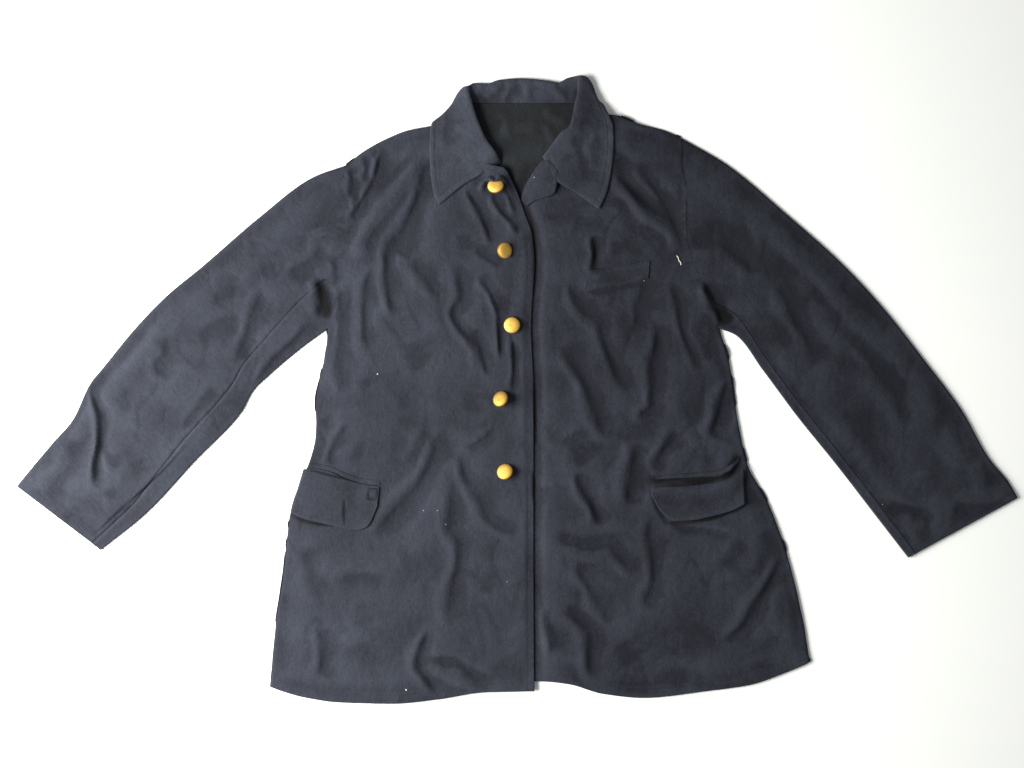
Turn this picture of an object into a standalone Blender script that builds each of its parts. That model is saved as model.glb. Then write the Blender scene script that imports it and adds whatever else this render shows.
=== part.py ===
"""A railway uniform jacket of thin dark cotton, laid flat on its back with its arms spread.

Metres, +Z up. +X is the wearer's left, +Y points to the collar, and z = 0 is the surface that
the jacket lies on. "right" and "left" in the names are the wearer's. Each cut piece is a thin
wall of its own. The panels share one height function, which keeps their layers apart, and a
piece that lies on a panel rests on that panel's own points.
"""
import math

import bmesh
import bpy
import numpy as np
from mathutils import Matrix, Vector
from mathutils.bvhtree import BVHTree

MM = 0.001

# Driving sizes
BACK_LENGTH = 746.25 * MM
CLOTH = 1.5 * MM
COLLAR_CLOTH = 2.2 * MM
LAYER_GAP = 0.3 * MM
SEAM_HALF_GAP = 0.3 * MM
LOFT_HEIGHT = 3.4 * MM
LOFT_REACH = 34 * MM
EDGE_HEIGHT = 0.9 * MM
TURN_WIDTH = 4.0 * MM
BACK_INSET = 9.0 * MM
COLLAR_BED = 3.0 * MM
ARMPIT_EASE = 1.2 * MM
BUTTON_DIAMETER = 21.0 * MM
BUTTON_HEIGHT = 3.6 * MM

# The tables are in units of the laying-out drawing, x to the right and y down. The neck seam
# of the back is 597 units above the hem, so one unit is 1.25 mm.
DRAWING_BACK_LENGTH = 597.0
UNIT = BACK_LENGTH / DRAWING_BACK_LENGTH
DRAWING_CENTRE_X = 517.35
DRAWING_CENTRE_Y = 390.012

# Side seams from hem to armpit, x and y
SIDE_RIGHT = [(270, 687), (275, 631), (283.5, 574), (290.6, 511), (298, 486), (312, 453),
              (315.5, 430), (316, 400), (321, 375), (325.5, 350), (328, 328)]
SIDE_LEFT = [(809.6, 662), (803, 620), (787, 554), (768, 503), (747, 463), (739.5, 430),
             (734.5, 400), (730, 365), (722, 337), (719.5, 328)]

# Armholes from armpit to shoulder point, x and y
ARMHOLE_RIGHT = [(328, 328), (328.5, 300), (326, 272), (333, 248), (343, 224), (349, 206),
                 (343, 190), (347, 165)]
ARMHOLE_LEFT = [(719.5, 328), (713, 300), (701, 280), (690, 252), (686, 224), (686, 190),
                (681, 165), (681, 138)]

# Shoulder lines from shoulder point to neck point, x and y
SHOULDER_RIGHT = [(347, 165), (363, 152), (388.5, 138), (408, 130.5), (432, 126), (450, 119),
                  (466, 110)]
SHOULDER_LEFT = [(681, 138), (664, 130.5), (638, 123.6), (620, 116.5), (606, 115), (596, 113),
                 (584, 109)]

# Hems from the side seam to the front edge, x and y
HEM_RIGHT = [(270, 687), (305, 697), (340, 702), (393, 703.3), (438, 699), (484.5, 692),
             (534.5, 690.5)]
HEM_LEFT = [(809.6, 662), (783, 673), (749, 684.6), (708, 690.5), (643, 697.4), (603, 693.5),
            (567.5, 683.6), (540, 681), (507, 681)]

# Where the hem of the back passes behind the front edges, and its middle, x and y
HEM_MEETING = (534, 684)
BACK_CENTRE = (521, 430)

# Front edge and neckline of the upper front, from hem to neck point, x and y
EDGE_RIGHT = [(534.5, 690.5), (533.8, 560), (533.8, 387), (531.3, 327), (534.8, 262), (532, 232),
              (526, 217), (521, 202), (513, 183), (503, 167.5), (491, 166), (482, 160),
              (473, 150), (465, 136), (461, 122), (466, 110)]

# Front edge and neckline of the lower front, hidden under the upper one up to its lapel
EDGE_LEFT = [(507, 681), (506, 560), (505, 387), (506, 262), (508, 232), (513, 212), (522, 198),
             (529, 182), (541, 163), (552.5, 161), (563, 156), (574, 147), (585, 135),
             (588, 122), (584, 109)]

# Neck seam of the back, x and y
NECK_SEAM = [(474, 104.3), (499, 104.3), (524, 104.3), (549, 104.3), (573, 104.3)]

# Sleeve edges from cuff to body, x and y
OUTER_RIGHT = [(17.4, 486), (27, 474), (53, 443), (73, 420), (90.4, 384), (104, 367), (135, 329),
               (168, 295), (202, 267), (260, 217), (313, 177.5), (347, 165)]
INNER_RIGHT = [(101, 549.5), (146, 513), (193.6, 462), (241, 412), (252.6, 391), (269, 375),
               (294.6, 353), (328, 328)]
OUTER_LEFT = [(1017.3, 497.5), (1007.6, 481), (988.6, 458), (962, 411), (924, 360), (883, 308),
              (842, 264), (786, 214), (727, 165), (681, 138)]
INNER_LEFT = [(908, 557), (877, 517), (836, 464), (798, 417), (763, 370), (736, 335),
              (719.5, 328)]

# Where the front sleeve seam runs, as a share of the width: along the sleeve, share
SEAM_SHARE_RIGHT = [(0.0, 0.90), (0.3, 0.86), (0.7, 0.81), (1.0, 0.71)]
SEAM_SHARE_LEFT = [(0.0, 0.93), (0.3, 0.93), (0.7, 0.92), (1.0, 0.86)]
SEAM_POINT = 2

# Collar sections, from the wearer's right front end round the back to the left front end.
# Neck seam x y, fold x y, middle x y, rim x y, outer edge x y, and the heights in mm of the
# last three. A section with no heights lies on a front, and the others turn under the back.
ON_FRONT = None
COLLAR_SECTIONS = [
    ((491, 168.5), (501, 163), (483.5, 173.5), (463, 185.5), (439.5, 205), ON_FRONT),
    ((482.5, 160), (495, 153), (474, 164), (453, 177), (434.5, 194), ON_FRONT),
    ((474, 150), (487, 142), (468, 151), (449, 162), (431.5, 174), ON_FRONT),
    ((466, 136), (481, 130), (463, 137), (446, 146), (430.6, 155), ON_FRONT),
    ((462, 122), (476, 117), (460, 122), (445, 130), (430.8, 138), ON_FRONT),
    ((466, 109), (472, 104), (459, 109), (446, 116), (432.6, 124.5), ON_FRONT),
    ((468.5, 106), (470.5, 98), (461, 101), (450, 109), (438, 120), (9.0, 8.0, 4.5)),
    ((470.5, 104), (469, 93), (462, 97), (453, 103.5), (450, 116), (9.0, 4.8, 1.1)),
    ((474, 103.8), (469, 89), (465, 88), (463, 91), (469, 127), (7.6, 4.2, 1.1)),
    ((480, 103.7), (475, 84), (477, 92), (479, 108), (484, 131), (1.1, 1.1, 1.1)),
    ((489, 103.7), (487, 84.5), (488, 93), (490, 110), (494, 133), (1.1, 1.1, 1.1)),
    ((501, 103.7), (499.5, 81), (501, 92), (502, 110), (503, 133), (1.1, 1.1, 1.1)),
    ((521, 103.7), (521, 79.4), (521, 92), (522, 110), (522, 133), (1.1, 1.1, 1.1)),
    ((545, 103.7), (545, 81.4), (545, 92), (545, 110), (545, 133), (1.1, 1.1, 1.1)),
    ((560, 103.7), (558, 83.5), (560, 92), (560, 110), (560, 132), (1.1, 1.1, 1.1)),
    ((568, 103.7), (568, 79), (569, 92), (570, 110), (572, 130), (1.1, 1.1, 1.1)),
    ((573, 103.8), (578, 77.5), (584, 77.5), (587, 81), (584, 127), (7.6, 4.2, 1.1)),
    ((577, 104), (578, 89), (587, 88), (594, 91), (596, 114), (9.0, 4.8, 1.1)),
    ((580, 106), (577, 97), (587, 97), (596, 100), (601, 104), (9.0, 8.0, 4.5)),
    ((583.5, 109), (575, 104), (585, 105), (596, 108), (606, 112), ON_FRONT),
    ((587, 122), (573, 115), (586, 119), (600, 124), (612.5, 130), ON_FRONT),
    ((584, 135), (570, 127), (584, 133), (599, 140), (612.8, 148), ON_FRONT),
    ((573, 147), (560.5, 135), (577, 145), (594, 156), (611, 168), ON_FRONT),
    ((562.5, 157), (550, 149), (568, 161), (588, 175), (607, 190), ON_FRONT),
    ((554, 164), (543, 158), (556, 181), (577, 194), (598.5, 209.5), ON_FRONT),
]

# The roll at the wearer's right stands higher: section number, extra height in mm, and the share
# of it that each of the nine points of a section gets
ROLL_RISE = {3: 1.6, 4: 2.8, 5: 3.2, 6: 2.8, 7: 1.6}
ROLL_SHARE = np.array([0.0, 0.4, 0.8, 1.0, 1.0, 0.6, 0.15, 0.0, 0.0])

# The lapel facing turned out over the wearer's left front: fold side x y, outer side x y
LAPEL_SECTIONS = [
    ((527, 207), (533.5, 201.5)),
    ((521.5, 199), (545, 198)),
    ((523, 190), (554.5, 194)),
    ((532, 175), (555.5, 184)),
    ((541, 161.5), (550, 175)),
]

# Largest folds: first, middle and last point x y, half width mm and height mm (a trough is
# below nought)
FOLDS = [
    ((429, 152), (413, 208), (386, 250), 11, -2.6),
    ((386, 250), (386, 285), (394, 318), 9, -2.0),
    ((384, 150), (372, 190), (355, 218), 6, -2.4),
    ((426, 152), (379, 209), (350, 262), 9, 2.4),
    ((341, 282), (341, 337), (345, 398), 8, -1.8),
    ((466, 200), (478, 212), (493, 246), 6, -1.6),
    ((456, 268), (455, 318), (478, 372), 8, -1.4),
    ((446, 428), (421, 480), (376, 533), 9, -2.4),
    ((458, 455), (480, 503), (520, 535), 9, 1.8),
    ((452, 472), (454, 545), (449, 628), 9, -1.8),
    ((432, 628), (417, 664), (440, 692), 7, -2.4),
    ((434, 668), (470, 676), (508, 684), 8, 1.6),
    ((320, 629), (324, 650), (320, 678), 8, -1.8),
    ((348, 421), (333, 447), (329, 466), 6, -1.6),
    ((616, 152), (632, 196), (672, 234), 9, -2.4),
    ((604, 178), (634, 210), (672, 240), 8, 2.0),
    ((654, 190), (668, 212), (680, 234), 7, -1.6),
    ((567, 280), (604, 345), (628, 396), 9, -1.8),
    ((560, 348), (584, 388), (606, 440), 8, -2.0),
    ((657, 322), (651, 375), (646, 424), 8, -2.2),
    ((668, 284), (680, 327), (708, 372), 7, -1.4),
    ((635, 450), (630, 480), (626, 502), 7, -1.8),
    ((573, 454), (578, 480), (600, 522), 9, -2.4),
    ((552, 536), (592, 549), (637, 575), 8, -1.4),
    ((562, 612), (588, 640), (596, 677), 9, -2.2),
    ((548, 600), (552, 630), (556, 664), 8, 1.6),
    ((783, 556), (757, 600), (726, 636), 8, -2.4),
    ((650, 514), (650, 556), (654, 610), 8, -1.6),
    ((92, 386), (103, 436), (97, 498), 8, -2.6),
    ((70, 430), (66, 462), (48, 494), 9, -1.6),
    ((112, 400), (122, 442), (118, 490), 10, 1.8),
    ((234, 268), (223, 288), (210, 304), 8, -1.6),
    ((262, 288), (248, 330), (234, 362), 9, -2.0),
    ((323, 247), (302, 264), (276, 284), 8, -2.0),
    ((156, 334), (164, 356), (174, 380), 9, -1.6),
    ((690, 250), (722, 246), (757, 276), 10, -1.8),
    ((772, 284), (793, 320), (812, 370), 10, -1.8),
    ((884, 499), (912, 506), (940, 514), 7, -2.0),
    ((950, 498), (983, 506), (1010, 496), 9, -1.6),
    ((988, 460), (984, 475), (976, 488), 7, -1.6),
]

# Flaps, hip jets and breast welt: sections across the piece, upper x y and lower x y
FLAP_RIGHT = [((298.5, 468.5), (292.5, 513)), ((312, 468.5), (304, 519)), ((329, 471), (324, 523)),
              ((345, 478), (341, 527)), ((362, 483.5), (356, 530)), ((374, 485.5), (368, 526)),
              ((380.4, 486.5), (378, 506))]
FLAP_LEFT = [((742.5, 466), (744, 503.5)), ((735, 474.5), (733, 509.5)), ((722, 480), (714, 515)),
             ((700, 484), (692, 519.5)), ((676, 486), (674, 520.5)), ((660, 486.5), (661, 512)),
             ((650, 487), (650.5, 494))]
JET_RIGHT = [((310, 463.3), (309.5, 467.2)), ((320, 464.2), (319, 468)), ((330, 466), (329, 469.8)),
             ((346, 473), (345, 476.8)), ((363, 478.5), (362, 482.3)), ((380, 480.5), (380, 484.6))]
JET_LEFT = [((739, 456), (739, 461)), ((732, 463.5), (731, 469)), ((720, 468.5), (719, 473.5)),
            ((700, 471.5), (699, 476)), ((680, 473.5), (680, 477.5)), ((656, 475.5), (655, 479))]
BREAST_WELT = [((587.5, 271), (584, 289)), ((608, 268), (604.5, 286)), ((629, 264.5), (626, 282)),
               ((650, 261), (648, 278.5))]

# Buttons down the wearer's right front: centre x y, tilt in degrees, and the way the face
# leans, in degrees from +X
BUTTONS = [(495.7, 187), (504.7, 251.3), (512, 325.5), (500.7, 398.9), (505, 471.3)]
BUTTON_TILTS = [24, 32, 5, 34, 26]
BUTTON_LEANS = [100, 0, 60, 140, 125]

# Half profile of a button, out from the axis and up from its back, as shares of its radius
# and height, from the crown down the outer side, and the shank below
BUTTON_PROFILE = [(0.0, 1.0), (0.45, 0.96), (0.78, 0.82), (0.92, 0.6), (1.0, 0.24), (0.98, 0.04),
                  (0.92, 0.0), (0.6, -0.08)]
SHANK_RADIUS = 2.0 * MM
SHANK_LENGTH = 2.6 * MM
BUTTON_SEGMENTS = 20


def remove_all_objects():
    for thing in list(bpy.data.objects):
        bpy.data.objects.remove(thing, do_unlink=True)


def place(points):
    """Drawing units to metres, for one point or a table of them."""
    points = np.asarray(points, dtype=float)
    across = (points[..., 0] - DRAWING_CENTRE_X) * UNIT
    up = (DRAWING_CENTRE_Y - points[..., 1]) * UNIT
    return np.stack([across, up], axis=-1)


def ease(value):
    """A smooth step from 0 to 1."""
    value = np.clip(value, 0.0, 1.0)
    return value * value * (3.0 - 2.0 * value)


def knot_slopes(knots, values):
    """Slopes at the knots of a curve that never overshoots its points."""
    rise = np.diff(values, axis=0) / np.diff(knots)[:, None]
    before, after = rise[:-1], rise[1:]
    same_way = before * after > 0
    total = np.where(same_way, before + after, 1.0)
    middle = np.where(same_way, 2.0 * before * after / total, 0.0)
    return np.vstack([rise[:1], middle, rise[-1:]])


def smooth_through(knots, values, wanted):
    """Values of a smooth curve through the knots, at the wanted places."""
    knots = np.asarray(knots, dtype=float)
    values = np.asarray(values, dtype=float)
    wanted = np.asarray(wanted, dtype=float)
    slopes = knot_slopes(knots, values)
    span = np.clip(np.searchsorted(knots, wanted, side="right") - 1, 0, len(knots) - 2)
    width = knots[span + 1] - knots[span]
    t = ((wanted - knots[span]) / width)[:, None]
    width = width[:, None]
    start = (2 * t**3 - 3 * t**2 + 1) * values[span] + (t**3 - 2 * t**2 + t) * width * slopes[span]
    end = (3 * t**2 - 2 * t**3) * values[span + 1] + (t**3 - t**2) * width * slopes[span + 1]
    return start + end


def length_shares(points):
    """How far along a line of points each one lies, from 0 to 1."""
    steps = np.linalg.norm(np.diff(points, axis=0), axis=1)
    along = np.concatenate([[0.0], np.cumsum(steps)])
    return along / along[-1]


def axis_shares(points, axis):
    """How far each point lies between the ends of the line, along one axis."""
    values = points[:, axis]
    return (values - values[0]) / (values[-1] - values[0])


def patch(bottom, top, left, right, across, up):
    """Points inside four edges. The edges are arrays sampled at across and at up."""
    u = across[None, :, None]
    v = up[:, None, None]
    ruled = (1 - v) * bottom[None] + v * top[None] + (1 - u) * left[:, None] + u * right[:, None]
    low = (1 - u) * bottom[0] + u * bottom[-1]
    high = (1 - u) * top[0] + u * top[-1]
    return ruled - (1 - v) * low - v * high


def distance_to_line(points, line):
    """Distance from each point to an open line, and how far along the line it is, 0 to 1."""
    flat = points.reshape(-1, 2)
    start, step = line[:-1], np.diff(line, axis=0)
    square = (step**2).sum(axis=1)
    share = ((flat[:, None] - start) * step).sum(axis=2) / square
    share = np.clip(share, 0.0, 1.0)
    nearest = start + share[..., None] * step
    gaps = np.linalg.norm(flat[:, None] - nearest, axis=2)
    best = gaps.argmin(axis=1)
    rows = np.arange(len(flat))
    stations = length_shares(line)
    along = stations[best] + share[rows, best] * np.diff(stations)[best]
    shape = points.shape[:-1]
    return gaps[rows, best].reshape(shape), along.reshape(shape)


def dense(table, count):
    """A table as a smooth line of count points, in metres."""
    points = place(table)
    return smooth_through(length_shares(points), points, np.linspace(0.0, 1.0, count))


CUFF_RIGHT = [OUTER_RIGHT[0], INNER_RIGHT[0]]
CUFF_LEFT = [OUTER_LEFT[0], INNER_LEFT[0]]
OUTLINE = [dense(table, 40) for table in (
    SIDE_RIGHT, SIDE_LEFT, HEM_RIGHT, HEM_LEFT, SHOULDER_RIGHT, SHOULDER_LEFT, OUTER_RIGHT,
    INNER_RIGHT, OUTER_LEFT, INNER_LEFT, CUFF_RIGHT, CUFF_LEFT)]
FOLD_LINES = [(dense(fold[:3], 13), fold[3] * MM, fold[4] * MM) for fold in FOLDS]

# Where the back rises over the collar behind it: centre, half width and height, and slope
BED_CENTRE = place((524, 96))
BED_HALF = np.array([130 * MM, 65 * MM])
BED_SLOPE = 42 * MM


def back_underside(points):
    """Height of the back's underside, which rises over the collar that lies behind it."""
    past = np.abs(points - BED_CENTRE) - BED_HALF
    outside = np.linalg.norm(np.maximum(past, 0.0), axis=-1)
    return COLLAR_BED * (1.0 - ease(outside / BED_SLOPE))


def folds_at(points):
    """Sum of the folds at each point."""
    total = np.zeros(points.shape[:-1])
    for line, width, height in FOLD_LINES:
        gap, along = distance_to_line(points, line)
        taper = ease(along / 0.22) * ease((1.0 - along) / 0.22)
        core = np.exp(-((gap / width) ** 2))
        sides = 0.3 * np.exp(-(((gap - 1.9 * width) / width) ** 2))
        total += height * taper * (core - sides)
    return total


def loft_at(points):
    """How far the upper layer stands off the lower one: less near the outline."""
    nearest = np.full(points.shape[:-1], np.inf)
    for line in OUTLINE:
        nearest = np.minimum(nearest, distance_to_line(points, line)[0])
    share = ease(nearest / LOFT_REACH)
    swell = EDGE_HEIGHT + (LOFT_HEIGHT - EDGE_HEIGHT) * share + folds_at(points) * share
    return np.maximum(swell, 0.0)


def turned_down(points, height, lines):
    """Brings a sewn edge down to the floor over the last few millimetres."""
    nearest = np.full(points.shape[:-1], np.inf)
    for line in lines:
        nearest = np.minimum(nearest, distance_to_line(points, line)[0])
    return height * np.clip(nearest / TURN_WIDTH, 0.0, 1.0)


def upper_underside(points):
    """Underside of the upper layer of the jacket."""
    return back_underside(points) + CLOTH + LAYER_GAP + loft_at(points)


FRONT_EDGE = dense(EDGE_RIGHT[:10], 60)
OVERLAP = 42 * MM
OVERLAP_SLOPE = 25 * MM
OVERLAP_CLEAR = 2.5 * MM
RIGHT_OVER_LEFT = CLOTH + 2 * LAYER_GAP
SIDE_LINES = [dense(SIDE_RIGHT, 40), dense(SIDE_LEFT, 40)]
SHOULDER_LINES = [dense(SHOULDER_RIGHT[:5], 30), dense(SHOULDER_LEFT[:4], 30)]


def right_front_underside(points):
    """The wearer's right front lies on top at the centre."""
    past = distance_to_line(points, FRONT_EDGE)[0] - OVERLAP
    least = RIGHT_OVER_LEFT * (1.0 - ease(past / OVERLAP_SLOPE))
    swell = np.maximum(loft_at(points), least)
    height = back_underside(points) + CLOTH + LAYER_GAP + swell
    return turned_down(points, height, [SIDE_LINES[0], SHOULDER_LINES[0]])


def left_front_underside(points):
    """The wearer's left front dips under the other one at the centre."""
    edge_x = np.interp(points[..., 1], FRONT_EDGE[:, 1], FRONT_EDGE[:, 0])
    clear = ease((points[..., 0] - edge_x - OVERLAP_CLEAR) / OVERLAP_SLOPE)
    height = back_underside(points) + CLOTH + LAYER_GAP + loft_at(points) * clear
    return turned_down(points, height, [SIDE_LINES[1], SHOULDER_LINES[1]])


def tops_of(objects):
    """Search trees of finished panels, to lay the next pieces on."""
    return [BVHTree.FromPolygons([v.co for v in thing.data.vertices],
                                 [p.vertices for p in thing.data.polygons]) for thing in objects]


REST_REACH = 3.5 * MM
SKY = 0.1


def resting_height(points, trees, reach=REST_REACH):
    """Highest cloth within reach of each point, for a piece that rests on it."""
    ring = [(0.0, 0.0)]
    for turn in range(8):
        angle = turn * math.pi / 4
        ring += [(reach * math.cos(angle), reach * math.sin(angle))]
    flat = points.reshape(-1, 2)
    found = np.zeros(len(flat))
    for row, (x, y) in enumerate(flat):
        for across, up in ring:
            for tree in trees:
                hit = tree.ray_cast(Vector((x + across, y + up, SKY)), Vector((0, 0, -1)))[0]
                if hit is not None:
                    found[row] = max(found[row], hit.z)
    return found.reshape(points.shape[:-1])


def material(name, colour, roughness, metallic=0.0):
    """A plain Principled material. The colour is linear."""
    made = bpy.data.materials.new(name)
    made.use_nodes = True
    shader = made.node_tree.nodes["Principled BSDF"]
    shader.inputs["Base Color"].default_value = (*colour, 1.0)
    shader.inputs["Roughness"].default_value = roughness
    shader.inputs["Metallic"].default_value = metallic
    return made


def add_object(name, mesh, surface, collection):
    """Adds a finished mesh as a node of the part."""
    mesh.materials.append(surface)
    made = bpy.data.objects.new(name, mesh)
    collection.objects.link(made)
    return made


def grid_mesh(name, points):
    """A grid whose rows and columns stand at the given points."""
    rows, columns = points.shape[:2]
    work = bmesh.new()
    bmesh.ops.create_grid(work, x_segments=columns - 1, y_segments=rows - 1, size=1.0)
    work.verts.ensure_lookup_table()
    for vert, place_of_it in zip(work.verts, points.reshape(-1, 3)):
        vert.co = Vector(place_of_it)
    mesh = bpy.data.meshes.new(name)
    work.to_mesh(mesh)
    work.free()
    return mesh


def upright_wall(name, points, heights, thickness, surface, collection):
    """A cloth wall whose underside is at the given heights and whose sides stand upright."""
    grid = grid_mesh(name, np.dstack([points, heights]))
    work = bmesh.new()
    work.from_mesh(grid)
    grown = bmesh.ops.extrude_face_region(work, geom=work.faces[:])
    top = [item for item in grown["geom"] if isinstance(item, bmesh.types.BMVert)]
    bmesh.ops.translate(work, verts=top, vec=(0.0, 0.0, thickness))
    bmesh.ops.triangulate(work, faces=work.faces[:])
    bmesh.ops.recalc_face_normals(work, faces=work.faces[:])
    work.to_mesh(grid)
    work.free()
    return add_object(name, grid, surface, collection)


def folded_wall(name, points, thickness, surface, collection):
    """A cloth wall folded over itself, with half its thickness on each side of the points."""
    mesh = grid_mesh(name, points)
    made = add_object(name, mesh, surface, collection)
    wall = made.modifiers.new("Cloth", "SOLIDIFY")
    wall.thickness = thickness
    wall.offset = 0.0
    wall.use_even_offset = False
    return made


def front_panel(name, side, armhole, shoulder, hem, edge, underside, seam_way, surface, collection):
    """A front, from side seam and armhole to its front edge and neckline."""
    side_rows = 17
    body = place(side)
    below = smooth_through(axis_shares(body, 1), body, np.linspace(0, 1, side_rows))
    arm = place(armhole)
    arm[:, 0] += seam_way * SEAM_HALF_GAP
    outer = np.vstack([below, arm[1:]])
    up = axis_shares(outer, 1)
    last = 1.0 - TURN_WIDTH / abs(outer[-1, 1] - outer[0, 1])
    turn_row = smooth_through(up, outer, [last])
    outer = np.vstack([outer[:-1], turn_row, outer[-1:]])
    up = axis_shares(outer, 1)
    inner = place(edge)
    inner = smooth_through(axis_shares(inner, 1), inner, up)
    width = abs(hem[-1][0] - hem[0][0]) * UNIT
    turn = TURN_WIDTH / width
    across = np.concatenate([[0.0], turn + (1.0 - turn) * np.linspace(0, 1, 17)])
    low = place(hem)
    low = smooth_through(axis_shares(low, 0), low, across)
    high = place(shoulder)
    high = smooth_through(axis_shares(high, 0), high, across)
    points = patch(low, high, outer, inner, across, up)
    return upright_wall(name, points, underside(points), CLOTH, surface, collection)


def drawn_in(line, towards, amount):
    """A line whose points are all moved by an amount towards one place."""
    aim = towards - line
    return line + aim / np.linalg.norm(aim, axis=1)[:, None] * amount


def back_panel(surface, collection):
    """The back, a little smaller all round than the layer above it."""
    centre = place(BACK_CENTRE)
    rows = np.linspace(0, 1, 7)

    def edge(side, armhole, way):
        low = place(side)
        low = smooth_through(axis_shares(low, 1), low, rows)
        low[:, 0] += way * BACK_INSET
        low[0, 1] += BACK_INSET
        low[-1] = place(side[-1]) + np.array([way * BACK_INSET, -BACK_INSET])
        arm = place(armhole)[1:]
        arm[:, 0] += way * SEAM_HALF_GAP
        arm[-1, 1] -= BACK_INSET
        return np.vstack([low, arm])

    left = edge(SIDE_RIGHT, ARMHOLE_RIGHT, 1)
    right = edge(SIDE_LEFT, ARMHOLE_LEFT, -1)
    up = axis_shares(left, 1)
    right_shoulder = drawn_in(place(SHOULDER_RIGHT[1:]), centre, BACK_INSET)
    left_shoulder = drawn_in(place(SHOULDER_LEFT[-1:0:-1]), centre, BACK_INSET)
    top = np.vstack([left[-1:], right_shoulder, place(NECK_SEAM), left_shoulder, right[-1:]])
    across = axis_shares(top, 0)
    hem = place(HEM_RIGHT[:-1] + [HEM_MEETING] + HEM_LEFT[-3::-1])
    hem[:, 1] += BACK_INSET
    hem[0], hem[-1] = left[0], right[0]
    low = smooth_through(axis_shares(hem, 0), hem, across)
    points = patch(low, top, left, right, across, up)
    return upright_wall("back", points, back_underside(points), CLOTH, surface, collection)


def sleeve(side, outer, inner, armhole, seam_share, seam_way, surface, collection):
    """Both pieces of a sleeve. The upper one lies on top. The under one lies below and comes
    round the underarm fold to the front seam."""
    along = np.linspace(0.0, 1.0, 25)
    over = place(outer)
    over = smooth_through(length_shares(over), over, along)
    under = place(inner)
    under = smooth_through(length_shares(under), under, along)
    arm = place(armhole)[::-1]
    arm[:, 0] += seam_way * SEAM_HALF_GAP
    arm[-1, 0] += seam_way * ARMPIT_EASE
    arm_shares = length_shares(arm)
    over[-1], under[-1] = arm[0], arm[-1]
    cuff = over[0] + (under[0] - over[0]) * arm_shares[:, None]
    seam = len(arm) - 1 - SEAM_POINT
    seam_place = smooth_through([row[0] for row in seam_share], [[row[1]] for row in seam_share],
                                along)[:, 0]
    seam_place[-1] = arm_shares[seam]

    def at(shares):
        """Points of the sleeve, where shares gives the place across it for each row."""
        found = []
        for row, (t, places) in enumerate(zip(along, shares)):
            v = places[:, None]
            cuff_point = over[0] + (under[0] - over[0]) * v
            arm_point = np.stack([np.interp(places, arm_shares, arm[:, k]) for k in (0, 1)], -1)
            blend = (1 - v) * over[row] + v * under[row] + (1 - t) * cuff_point + t * arm_point
            corners = (1 - t) * cuff_point + t * ((1 - v) * over[-1] + v * under[-1])
            found.append(blend - corners)
        return np.array(found)

    width = np.linalg.norm(over - under, axis=1)
    seam_gap = SEAM_HALF_GAP / width
    turn = TURN_WIDTH / width
    stretch = (seam_place - seam_gap) / arm_shares[seam]
    upper_shares = arm_shares[None, :seam + 1] * stretch[:, None]
    upper_shares = np.column_stack([upper_shares[:, :1], turn, upper_shares[:, 1:]])
    upper_points = at(upper_shares)
    outer_line = dense(outer, 60)
    heights = turned_down(upper_points, upper_underside(upper_points), [outer_line])
    upright_wall(f"sleeve_{side}_upper", upper_points, heights, CLOTH, surface, collection)

    strip = (1.0 - arm_shares[None, seam:]) / (1.0 - arm_shares[seam])
    strip = 1.0 - strip * (1.0 - seam_place - seam_gap)[:, None]
    fold_turns = np.radians([60, 90, 120])
    below_shares = np.repeat(arm_shares[None, ::-1], len(along), axis=0)
    inset = BACK_INSET / width
    radius_points = at(strip[:, -1:])
    half_step = (upper_underside(radius_points)[:, 0] / 2)[:, None]
    strip[:, -1:] -= half_step / width[:, None]
    bend = 1.0 - (half_step / width[:, None]) * (1.0 - np.sin(fold_turns))[None]
    below_shares[:, :1] = strip[:, -1:]
    below_shares[:, -1] = inset
    below_shares[:, -2] = np.maximum(below_shares[:, -2], inset * 2)
    shares = np.hstack([strip, bend, below_shares])
    points = at(shares)
    heights = np.full(shares.shape, CLOTH / 2)
    top_count = strip.shape[1]
    heights[:, :top_count] = upper_underside(points[:, :top_count]) + CLOTH / 2
    bend_columns = slice(top_count, top_count + len(fold_turns))
    half = (heights[:, top_count - 1:top_count] - CLOTH / 2) / 2
    heights[:, bend_columns] = CLOTH / 2 + half * (1.0 + np.cos(fold_turns))[None]
    folded_wall(f"sleeve_{side}_under", np.dstack([points, heights]), CLOTH, surface, collection)


# A collar height in mm under which the fall has turned round the edge, and the least rise of
# its middle surface over the cloth it rests on
WRAP_HEIGHT = 6.0
REST_ABOVE = 1.6 * MM
SHOULDER_STACK = COLLAR_BED + 2 * CLOTH + LAYER_GAP + EDGE_HEIGHT


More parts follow.
